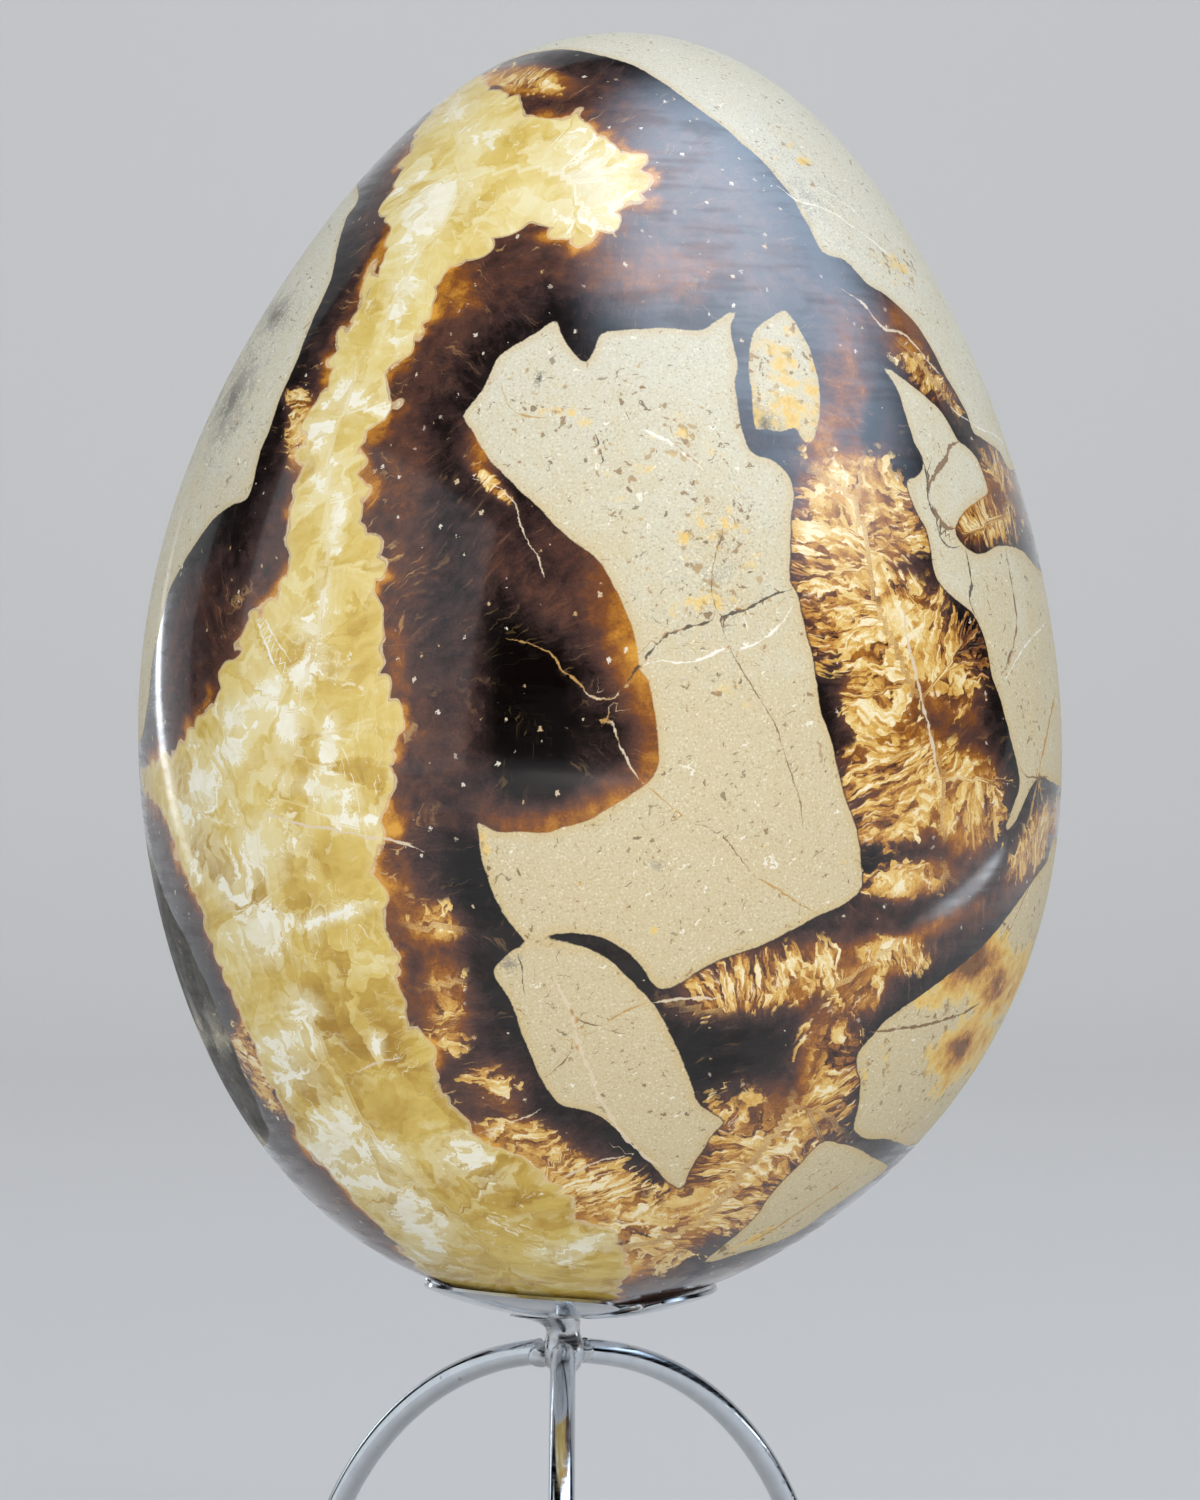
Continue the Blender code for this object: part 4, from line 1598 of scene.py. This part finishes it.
@dataclass(frozen=True)
class StoneFinish:
    """The polished skin: limestone, aragonite and calcite laid out by the mesh's own measures."""

    limestone_gloss: float = 0.46
    aragonite_gloss: float = 0.22
    calcite_gloss: float = 0.26
    refraction: float = 1.25
    coat_refraction: float = 1.48
    coat_roughness: float = 0.08

    def build(self) -> bpy.types.Material:
        """Lays the stone's minerals out over its skin.

        Returns:
            The stone's material.
        """
        made, w, shader = new_material("septarian_stone")
        place = w.millimetres()
        rise = w.step(w.field("height"), 60.0, 190.0)
        uneven = w.group(EFFECTS["unevenness"], Place=place).outputs
        mottle, grain = uneven["Mottle"], uneven["Grain"]
        depth = w.add(w.field("to_clast"), w.swing(mottle, 0.4), w.swing(grain, 0.12))
        lobes = w.maths("ABSOLUTE", w.swing(w.noise(place, 0.22, 1.0), 7.0))
        to_calcite = w.add(w.field("to_calcite"), w.times(lobes, -1.0), w.swing(mottle, 0.9), 0.5)
        in_clast = w.step(depth, 0.09, -0.09)
        in_spar = w.step(to_calcite, 0.1, -0.1)
        growth = w.group(
            EFFECTS["growth"], Place=place, Spar=in_spar, Mottle=mottle, Drift=uneven["Drift"],
            Along=w.between(in_spar, w.field("wall"), w.field("spar_wall")),
            Deep=w.between(in_spar, depth, to_calcite),
        ).outputs
        shared = {name: uneven[name] for name in ("Cloud", "Mottle", "Grain")}
        grown = {name: growth[name] for name in ("Strands", "Fine", "Face", "Facet", "Chip", "Bent")}
        stone = w.group(
            EFFECTS["limestone"], Place=place, Depth=depth, Rust=w.field("rust"), Smoke=w.field("smoke"),
            Rise=rise, Drift=uneven["Drift"], **shared,
        )
        brown = w.group(
            EFFECTS["aragonite"], Place=place, Depth=depth, To_Calcite=to_calcite,
            Lightness=w.field("lightness"), Gold=w.field("gold"), Glow=w.field("glow"), **shared, **grown,
        )
        spar = w.group(
            EFFECTS["calcite"], Place=place, Feather=w.field("feather"), Honey=w.field("honey"),
            Rise=rise, Depth=to_calcite, **shared, **grown,
        )
        colour = w.blend(in_spar, brown.outputs["Colour"], spar.outputs["Colour"])
        colour = w.blend(in_clast, colour, stone.outputs["Colour"])
        crooked = w.add(w.swing(mottle, 0.6), w.swing(grain, 0.26))
        crack = w.maths("ABSOLUTE", w.add(w.field("crack"), crooked))
        width = w.times(w.field("crack_width"), w.step(w.noise(place, 0.8, 1.0), 0.30, 0.68, (0.25, 1.0)))
        split = w.step(w.maths("SUBTRACT", crack, width), 0.05, -0.06)
        split = w.times(split, w.maths("GREATER_THAN", width, 0.02))
        filling = w.ramp(w.field("crack_lode"), (
            (0.0, (0.84, 0.82, 0.74, 1)), (0.25, (0.70, 0.58, 0.42, 1)), (0.5, (0.50, 0.29, 0.09, 1)),
            (0.75, (0.21, 0.12, 0.06, 1)), (1.0, (0.075, 0.055, 0.042, 1)),
        ))
        colour = w.blend(w.times(split, 0.9), colour, filling)
        haze = w.group(EFFECTS["polish haze"], Place=place, Cloud=uneven["Cloud"], Amount=0.14)
        gloss = w.between(in_spar, self.aragonite_gloss, self.calcite_gloss)
        gloss = w.between(in_clast, gloss, self.limestone_gloss)
        roughness = w.add(gloss, haze.outputs["Roughness"], w.times(split, 0.2))
        coat = w.between(in_clast, w.between(in_spar, 1.0, 0.6), 0.16)
        coat = w.times(coat, w.step(haze.outputs["Roughness"], 0.0, 0.14, (1.0, 0.7)))
        relief = w.noise(place, 1.5, 1.0)
        w.put(shader.inputs["Base Color"], colour)
        w.put(shader.inputs["Roughness"], roughness)
        w.put(shader.inputs["Coat Weight"], coat)
        w.put(shader.inputs["Normal"], w.bump(relief, 0.20, 0.00005))
        shader.inputs["IOR"].default_value = self.refraction
        shader.inputs["Coat IOR"].default_value = self.coat_refraction
        shader.inputs["Coat Roughness"].default_value = self.coat_roughness
        return made


@dataclass(frozen=True)
class SteelFinish:
    """Bright polished steel, a little uneven, and heat-stained where it was welded."""

    title: str = "polished_steel"
    colour: Colour = (0.74, 0.77, 0.80, 1.0)
    roughness: float = 0.09
    welded: bool = False

    def build(self) -> bpy.types.Material:
        """Wears the steel with haze, pits and weld stains.

        Returns:
            The steel's material.
        """
        made, w, shader = new_material(self.title)
        place = w.millimetres()
        haze = w.group(EFFECTS["polish haze"], Place=w.scaled(place, (3.0, 3.0, 3.0)), Amount=0.16)
        cloud = w.noise(place, 0.5, 4.0, 0.5)
        colour = w.blend(w.step(cloud, 0.35, 0.7, (0.0, 0.35)), self.colour, (0.58, 0.62, 0.68, 1))
        pits = w.group(EFFECTS["specks"], Place=w.scaled(place, (0.9, 0.9, 0.9)), Share=0.12, Size=0.2)
        colour = w.blend(w.times(pits.outputs["Mask"], 0.4), colour, (0.30, 0.29, 0.28, 1))
        if self.welded:
            burnt = w.step(w.noise(place, 0.45, 3.0), 0.45, 0.62)
            colour = w.blend(w.times(burnt, 0.35), colour, (0.50, 0.40, 0.30, 1))
        w.put(shader.inputs["Base Color"], colour)
        w.put(shader.inputs["Roughness"], w.add(self.roughness, haze.outputs["Roughness"]))
        relief = w.add(w.times(w.noise(place, 0.7, 3.0), 1.0 if self.welded else 0.35),
                       w.times(pits.outputs["Mask"], -0.3))
        w.put(shader.inputs["Normal"], w.bump(relief, 0.5, 0.00012 if self.welded else 0.00005))
        shader.inputs["Metallic"].default_value = 1.0
        return made


def dress(piece: bpy.types.Object, finish: bpy.types.Material, slot: str, *nodes: str) -> bpy.types.Object:
    """Gives a piece its finish and its place in the frame, and hides the CAD nodes that it stands for.

    Args:
        piece: The piece, in place.
        finish: Its material.
        slot: Not used.
        *nodes: The CAD nodes that it replaces.

    Returns:
        The piece.
    """
    piece.data.materials.clear()
    piece.data.materials.append(finish)
    if nodes:
        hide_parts(*nodes)
    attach(piece, "root")
    return piece


def add_piece(name: str, places: np.ndarray, faces: list, sharp: float = 40.0) -> bpy.types.Object:
    """Makes a mesh object from places and faces.

    Args:
        name: The piece's name.
        places: Points in metres, one per row.
        faces: Vertex numbers, one run per face.
        sharp: Edges above this angle, in degrees, aren't smoothed.

    Returns:
        The new object.
    """
    mesh = bpy.data.meshes.new(name)
    mesh.from_pydata([tuple(p) for p in places], [], [tuple(f) for f in faces])
    mesh.update()
    tidy = bmesh.new()
    tidy.from_mesh(mesh)
    bmesh.ops.recalc_face_normals(tidy, faces=tidy.faces)
    tidy.to_mesh(mesh)
    tidy.free()
    mesh.shade_smooth()
    mesh.set_sharp_from_angle(angle=radians(sharp))
    piece = bpy.data.objects.new(name, mesh)
    bpy.context.scene.collection.objects.link(piece)
    return piece


def ring_faces(rings: int, sides: int) -> list[tuple[int, ...]]:
    """Faces of a tube whose vertices lie ring by ring, closed at both ends.

    Args:
        rings: How many rings there are.
        sides: How many vertices each ring has.

    Returns:
        Vertex numbers, one run per face.
    """
    faces = []
    for low in range(0, (rings - 1) * sides, sides):
        for k in range(sides):
            n = (k + 1) % sides
            faces.append((low + k, low + n, low + sides + n, low + sides + k))
    last = (rings - 1) * sides
    return faces + [tuple(range(sides)), tuple(range(last, last + sides))]


@dataclass
class Nodule:
    """The stone: a fine skin over the ground egg, with its markings."""

    form: NoduleForm = field(default_factory=NoduleForm)
    camera: PhotoCamera = field(default_factory=PhotoCamera)
    cuts: int = 128

    def lattice(self) -> tuple[np.ndarray, np.ndarray]:
        """A cube's skin cut into squares and blown up into a ball.

        Returns:
            The corners as unit vectors, and four corner numbers per square.
        """
        n = self.cuts
        i, j = np.meshgrid(np.arange(n + 1), np.arange(n + 1), indexing="ij")
        i, j = i.ravel(), j.ravel()
        sides = []
        for axis in range(3):
            for level in (0, n):
                side = np.zeros((len(i), 3), int)
                side[:, axis] = level
                side[:, (axis + 1) % 3] = i
                side[:, (axis + 2) % 3] = j
                sides.append(side)
        knots, number = np.unique(np.concatenate(sides), axis=0, return_inverse=True)
        number = number.reshape(6, n + 1, n + 1)
        quads = np.stack(
            [number[:, :-1, :-1], number[:, 1:, :-1], number[:, 1:, 1:], number[:, :-1, 1:]], axis=-1
        ).reshape(-1, 4)
        ball = np.tan(pi / 4 * (2.0 * knots / n - 1.0))
        return ball / np.linalg.norm(ball, axis=1)[:, None], quads

    def measures(self, directions: np.ndarray) -> dict[str, np.ndarray]:
        """Works out what the stone's material reads at every vertex.

        Args:
            directions: The vertices' unit vectors from the stone's centre.

        Returns:
            One value per vertex under the name of each measure.
        """
        skin = SkinMap(self.form, self.camera, directions)
        to_clast, wall = skin.to_outlines(tuple(CLASTS.values()))
        to_calcite, spar_wall = skin.to_outlines(tuple(CALCITE.values()))
        fields = {
            "to_clast": to_clast,
            "wall": wall,
            "to_calcite": to_calcite,
            "spar_wall": spar_wall,
            "feather": skin.cover(FEATHER),
            "honey": skin.shift(HONEY),
            "gold": skin.cover(GOLD),
            "glow": skin.shift(GLOW),
            "rust": skin.cover(RUST),
            "smoke": skin.cover(SMOKE),
            "lightness": skin.shift(DEPTH),
            "height": skin.places[:, 2],
        }
        fields.update(skin.to_hairlines(HAIRLINES))
        return fields

    def build(self, finish: bpy.types.Material) -> bpy.types.Object:
        """Makes the stone.

        Args:
            finish: The stone's material.

        Returns:
            The stone.
        """
        directions, quads = self.lattice()
        stone = add_piece("nodule", self.form.skin(directions), quads.tolist(), 60.0)
        for name, values in self.measures(directions).items():
            layer = stone.data.attributes.new(name, "FLOAT", "POINT")
            layer.data.foreach_set("value", values.astype(np.float32))
        return dress(stone, finish, "septarian_stone", "stone_egg")


@dataclass
class Leg:
    """One leg: a bent steel rod with a rounded foot."""

    name: str
    azimuth: float
    reach: float
    rod_radius: float = 1.5 * MM
    top: float = 42.0 * MM
    start: float = 2.9 * MM
    foot: float = 2.0 * MM
    rounding: float = 0.9 * MM
    foot_rings: tuple[tuple[float, float], ...] = ((0.45, 1.46), (0.16, 1.32), (0.02, 1.12), (0.0, 0.9))
    steps: int = 56
    sides: int = 28

    def path(self) -> list[tuple[float, float]]:
        """Bends the rod's middle line: a quarter ellipse and a short upright foot.

        Returns:
            How far out and how far up each point is.
        """
        drop = self.top - self.foot
        first = self.start / self.reach
        points = [(self.start, self.top)]
        for i in range(1, self.steps + 1):
            angle = pi / 2 * (first + (1 - first) * i / self.steps)
            points.append((self.reach * sin(angle), self.foot + drop * cos(angle)))
        points.append((self.reach, self.rounding))
        return points

    def build(self) -> bpy.types.Object:
        """Sweeps the rod along its path and rounds its foot.

        Returns:
            The leg.
        """
        path = self.path()
        turn = radians(self.azimuth)
        out = np.array([cos(turn), sin(turn), 0.0])
        side = np.array([-sin(turn), cos(turn), 0.0])
        rings = []
        for i, (away, up) in enumerate(path):
            before, after = path[max(i - 1, 0)], path[min(i + 1, len(path) - 1)]
            run = np.array([after[0] - before[0], after[1] - before[1]])
            run /= np.linalg.norm(run)
            across = out * -run[1] + np.array([0.0, 0.0, run[0]])
            middle = np.array([STAND_X, 0.0, up]) + out * away
            rings.append((middle, across, self.rod_radius))
        foot = np.array([STAND_X, 0.0, 0.0]) + out * self.reach
        for up, radius in self.foot_rings:
            rings.append((foot + np.array([0.0, 0.0, up * MM]), rings[-1][1], radius * MM))
        places = []
        for middle, across, radius in rings:
            for k in range(self.sides):
                angle = 2 * pi * k / self.sides
                places.append(middle + (across * cos(angle) + side * sin(angle)) * radius)
        return add_piece(self.name, np.array(places), ring_faces(len(rings), self.sides), 50.0)


@dataclass
class Post:
    """The short post: a turned and hammered stub that carries the petals."""

    sides: int = 48
    dent_depth: float = 0.03
    dented_below: float = 45.0
    rings: tuple[tuple[float, float, float], ...] = (
        (39.35, 0.5, 0.1), (39.45, 1.0, 0.1), (39.7, 1.45, 0.1), (40.2, 2.0, 0.05), (40.8, 2.3, 0.0),
        (41.5, 2.5, 0.0), (42.2, 2.58, 0.0), (43.0, 2.42, 0.0), (43.7, 2.2, 0.0), (44.3, 2.05, 0.0),
        (44.9, 2.12, -0.08), (45.4, 2.45, -0.45), (45.8, 2.9, -0.9), (46.15, 3.45, -1.6),
        (46.4, 4.0, -2.35), (46.52, 3.85, -0.4), (46.9, 3.7, 0.0), (47.4, 3.5, 0.0), (47.55, 3.2, 0.0),
    )

    def build(self) -> bpy.types.Object:
        """Turns the post from its rings, with three shallow dents round its lower part.

        Returns:
            The post.
        """
        places = []
        for height, radius, shift in self.rings:
            deep = self.dent_depth if height < self.dented_below else 0.0
            for k in range(self.sides):
                angle = 2 * pi * k / self.sides
                dent = 1.0 - deep * (1 + sin(3 * angle + height))
                x = STAND_X / MM + shift + radius * dent * cos(angle)
                places.append((x, radius * dent * sin(angle), height))
        return add_piece("post", np.array(places) * MM, ring_faces(len(self.rings), self.sides), 50.0)


@dataclass
class Petal:
    """One petal: a thin sheet that follows the stone, with a rolled, polished rim."""

    name: str
    azimuth: float
    gap: float = 0.3 * MM
    thickness: float = 0.8 * MM
    root: float = 4.3 * MM
    reach: float = 17.8 * MM
    half_angle: float = 56.0
    swirl: float = 32.0
    wide_to_deep: float = 1.4
    rims_deep: float = 14.0
    rim_thinning: float = 0.5
    slimming: float = 0.98
    clearance: float = 0.02 * MM
    rows: int = 30
    columns: int = 64

    def rim(self, share: float) -> float:
        """How far the rim is from the post, for share -1 to 1 across the petal."""
        return self.reach * (1 - 0.06 * share**2 - 0.16 * share**8)

    def build(self, stone: BVHTree) -> bpy.types.Object:
        """Fits the petal under the stone.

        Args:
            stone: A search tree of the stone's skin.

        Returns:
            The petal.
        """
        inner, outer = [], []
        for row in range(self.rows + 1):
            along = row / self.rows
            for column in range(self.columns + 1):
                share = 2 * column / self.columns - 1
                distance = self.root + (self.rim(share) - self.root) * along
                turn = radians(self.azimuth + share * self.half_angle - self.swirl * (1 - along))
                foot = Vector((STAND_X + distance * cos(turn), distance * sin(turn), 0))
                hit, normal, _, _ = stone.ray_cast(foot, Vector((0, 0, 1)))
                edge = min(along, 1 - along, (1 - abs(share)) * self.wide_to_deep) * self.rims_deep
                lip = 1.0 - max(0.0, 1.0 - edge) ** 2 * self.rim_thinning
                middle = self.gap + self.thickness / 2
                half = self.thickness / 2 * lip * self.slimming
                inner.append(hit + normal * (middle - half + self.clearance))
                outer.append(hit + normal * (middle + half))
        wide = self.columns + 1
        top = len(inner)
        faces = []
        for row in range(self.rows):
            for column in range(self.columns):
                a = row * wide + column
                faces.append((a, a + 1, a + wide + 1, a + wide))
                faces.append((top + a, top + a + wide, top + a + wide + 1, top + a + 1))
        loop = list(range(wide))
        loop += [row * wide + self.columns for row in range(1, self.rows)]
        loop += [self.rows * wide + column for column in reversed(range(wide))]
        loop += [row * wide for row in reversed(range(1, self.rows))]
        for a, b in zip(loop, loop[1:] + loop[:1]):
            faces.append((a, b, top + b, top + a))
        return add_piece(self.name, np.array(inner + outer), faces, 50.0)


@dataclass
class Weld:
    """A bead of weld that closes the joint of a leg and the post."""

    name: str
    middle: tuple[float, float, float]
    size: tuple[float, float, float]
    lean: float = 0.0

    def build(self) -> bpy.types.Object:
        """Makes a lumpy bead.

        Returns:
            The bead.
        """
        bead = bmesh.new()
        bmesh.ops.create_icosphere(bead, subdivisions=4, radius=1.0)
        places = np.array([v.co for v in bead.verts])
        faces = [[v.index for v in f.verts] for f in bead.faces]
        bead.free()
        lumps = 1.0 + 0.07 * np.sin(places[:, 0] * 4.1 + self.lean) * np.cos(places[:, 2] * 5.3 + 1.0)
        lumps += 0.05 * np.sin(places[:, 1] * 6.7 + places[:, 2] * 3.1)
        places = places * lumps[:, None] * np.array(self.size)
        x = places[:, 0] * cos(self.lean) + places[:, 2] * sin(self.lean)
        z = places[:, 2] * cos(self.lean) - places[:, 0] * sin(self.lean)
        placed = np.stack([x, places[:, 1], z], axis=1) + np.array(self.middle)
        return add_piece(self.name, placed * MM, faces, 60.0)


@dataclass
class Stand:
    """The wire stand: a post, three bent rods and three petals, welded together."""

    legs: tuple[Leg, ...] = (
        Leg("leg_front_rod", -90.0, 36.0 * MM),
        Leg("leg_left_rod", 155.0, 34.5 * MM),
        Leg("leg_right_rod", 35.0, 37.5 * MM),
    )
    petals: tuple[Petal, ...] = (
        Petal("petal_front_sheet", -118.0),
        Petal("petal_right_sheet", 2.0),
        Petal("petal_back_sheet", 122.0),
    )
    welds: tuple[Weld, ...] = (
        Weld("weld_left", (-7.0, 0.6, 41.6), (1.5, 1.3, 1.5), 0.5),
        Weld("weld_right", (-2.0, 1.2, 42.0), (1.4, 1.3, 1.2), -0.4),
        Weld("weld_front", (-4.3, -2.5, 41.9), (1.35, 1.0, 1.3), 0.1),
    )

    def build(self, steel: bpy.types.Material, welded: bpy.types.Material,
              stone: BVHTree) -> list[bpy.types.Object]:
        """Makes the stand's pieces.

        Args:
            steel: The polished steel.
            welded: The steel where it was welded.
            stone: A search tree of the stone's skin.

        Returns:
            The pieces.
        """
        made = []
        for leg in self.legs:
            made.append(dress(leg.build(), steel, "polished_steel", leg.name.replace("_rod", "")))
        for petal in self.petals:
            piece = petal.build(stone)
            made.append(dress(piece, steel, "polished_steel", petal.name.replace("_sheet", "")))
        made.append(dress(Post().build(), welded, "polished_steel", "stand_post"))
        for weld in self.welds:
            made.append(dress(weld.build(), welded, "polished_steel"))
        return made


@dataclass
class Studio:
    """A pale floor that sweeps up behind the stone, and soft lights."""

    floor_colour: Colour = (0.60, 0.605, 0.61, 1.0)
    reach: float = 2.2
    rise_at: float = 1.1
    bend: float = 0.8
    bend_steps: int = 16
    wall: float = 3.0
    across: tuple[float, ...] = (-3.0, -1.0, 1.0, 3.0)
    middle: tuple[float, float, float] = (0.0, 0.0, 0.12)

    def floor(self) -> None:
        """Makes the floor with its sweep."""
        outline = [(-self.reach, 0.0), (self.rise_at, 0.0)]
        for i in range(1, self.bend_steps + 1):
            angle = pi / 2 * i / self.bend_steps
            outline.append((self.rise_at + self.bend * sin(angle), self.bend * (1 - cos(angle))))
        outline.append((self.rise_at + self.bend, self.wall))
        places = [(x, away, up) for away, up in outline for x in self.across]
        wide = len(self.across)
        faces = []
        for i in range(len(outline) - 1):
            for k in range(wide - 1):
                a = i * wide + k
                faces.append((a, a + 1, a + wide + 1, a + wide))
        sweep = add_piece("studio_floor", np.array(places), faces, 60.0)
        made, w, shader = new_material("studio_floor")
        paper = w.times(w.noise(w.millimetres(), 0.02, 4.0), 0.10)
        w.put(shader.inputs["Base Color"], w.blend(paper, self.floor_colour, (0.54, 0.55, 0.56, 1)))
        shader.inputs["Roughness"].default_value = 0.75
        sweep.data.materials.append(made)

    @staticmethod
    def lamp(name: str, place: tuple[float, float, float], aim: tuple[float, float, float],
             size: tuple[float, float], radiance: float, colour: tuple[float, float, float],
             glare: bool = True, spread: bool = True, faded: bool = False) -> bpy.types.Object:
        """Adds a soft rectangular light.

        Args:
            name: The light's name.
            place: Where it hangs.
            aim: The point that it faces.
            size: Its width and height in metres.
            radiance: How bright its face is.
            colour: Its colour.
            glare: Whether it is mirrored in the polish.
            spread: Whether it lights what isn't polished.
            faded: Whether its face fades from the middle to its edges.

        Returns:
            The light.
        """
        data = bpy.data.lights.new(name, "AREA")
        data.shape = "RECTANGLE"
        data.size, data.size_y = size
        data.energy = radiance * pi * size[0] * size[1]
        data.color = colour
        if faded:
            data.use_nodes = True
            w = Wiring(data.node_tree)
            face = w.node("ShaderNodeNewGeometry").outputs["Parametric"]
            spot = w.vectors("SUBTRACT", face, (0.5, 0.5, 0.0))
            away = w.maths("SQRT", w.vectors("DOT_PRODUCT", spot, spot))
            w.put(data.node_tree.nodes["Emission"].inputs["Strength"], w.step(away, 0.5, 0.15))
        lamp = bpy.data.objects.new(name, data)
        lamp.location = place
        lamp.rotation_euler = (Vector(aim) - Vector(place)).to_track_quat("-Z", "Y").to_euler()
        lamp.visible_camera = False
        lamp.visible_glossy = glare
        lamp.visible_diffuse = spread
        bpy.context.scene.collection.objects.link(lamp)
        return lamp

    def strip(self, name: str, start: tuple[float, float, float], end: tuple[float, float, float],
              wide: float, radiance: float) -> None:
        """Adds a thin bright band that only the polish mirrors.

        Args:
            name: The light's name.
            start: One end of the band.
            end: Its other end.
            wide: Its width in metres.
            radiance: How bright it is.
        """
        middle = (Vector(start) + Vector(end)) / 2
        run = Vector(end) - Vector(start)
        band = self.lamp(name, middle, self.middle, (run.length, wide), radiance, (0.86, 0.93, 1.0),
                         spread=False, faded=True)
        run.normalize()
        away = middle - Vector(self.middle)
        away = (away - run * away.dot(run)).normalized()
        band.rotation_euler = Matrix((run, away.cross(run), away)).transposed().to_euler()

    def build(self) -> None:
        """Makes the floor, the lights and the air around them."""
        self.floor()
        middle = self.middle
        self.lamp("sky_panel", (0.35, -0.30, 1.05), middle, (1.2, 1.2), 2.1, (0.92, 0.96, 1.0), faded=True)
        self.lamp("sky_sheen", (0.50, -0.20, 0.96), middle, (1.9, 1.9), 6.0, (0.62, 0.78, 1.0),
                  spread=False, faded=True)
        self.strip("left_band", (-0.26, 0.08, 0.023), (-0.28, 0.45, 0.255), 0.030, 5.5)
        self.strip("right_band", (0.19, -0.046, 0.029), (0.262, 0.113, 0.071), 0.016, 4.5)
        self.lamp("left_wall", (-1.06, -0.50, 0.36), middle, (1.6, 1.1), 0.80, (0.90, 0.95, 1.0))
        self.lamp("front_key", (0.25, -1.25, 0.14), middle, (1.4, 0.5), 5.9, (1.0, 0.96, 0.90), glare=False)
        self.lamp("backdrop", (0.0, 0.70, 1.7), (0.0, 1.9, 0.4), (1.6, 0.6), 3.5, (1.0, 0.99, 0.97),
                  glare=False)
        world = bpy.data.worlds.new("studio")
        bpy.context.scene.world = world
        world.use_nodes = True
        air = world.node_tree.nodes["Background"].inputs
        air["Color"].default_value = (0.93, 0.95, 1.0, 1)
        air["Strength"].default_value = 0.50
        world.cycles_visibility.glossy = False
        bpy.context.scene.view_settings.view_transform = "Standard"


def clear_default_scene() -> None:
    """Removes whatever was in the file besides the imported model."""
    kept = set(frame["nodes"].values()) | set(frame["bodies"].values())
    for thing in list(bpy.data.objects):
        if thing not in kept:
            bpy.data.objects.remove(thing, do_unlink=True)


def main() -> None:
    """Builds the stone, its stand and the studio."""
    clear_default_scene()
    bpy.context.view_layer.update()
    for effect in (Specks, PolishHaze, Unevenness, Growth, Limestone, Crystals, Aragonite, Calcite):
        EFFECTS[effect.title] = effect()
    nodule = Nodule()
    nodule.camera.build()
    stone = nodule.build(StoneFinish().build())
    skin = stone.data
    tree = BVHTree.FromPolygons(
        [v.co for v in skin.vertices], [tuple(p.vertices) for p in skin.polygons]
    )
    steel = SteelFinish().build()
    welded = SteelFinish("welded_steel", (0.70, 0.72, 0.74, 1.0), 0.16, True).build()
    for piece in [stone] + Stand().build(steel, welded, tree):
        LOG.info("%s: %d faces", piece.name, len(piece.data.polygons))
    Studio().build()


if __name__ == "__main__":
    logging.basicConfig(level=logging.INFO, format="%(name)s: %(message)s")
    main()
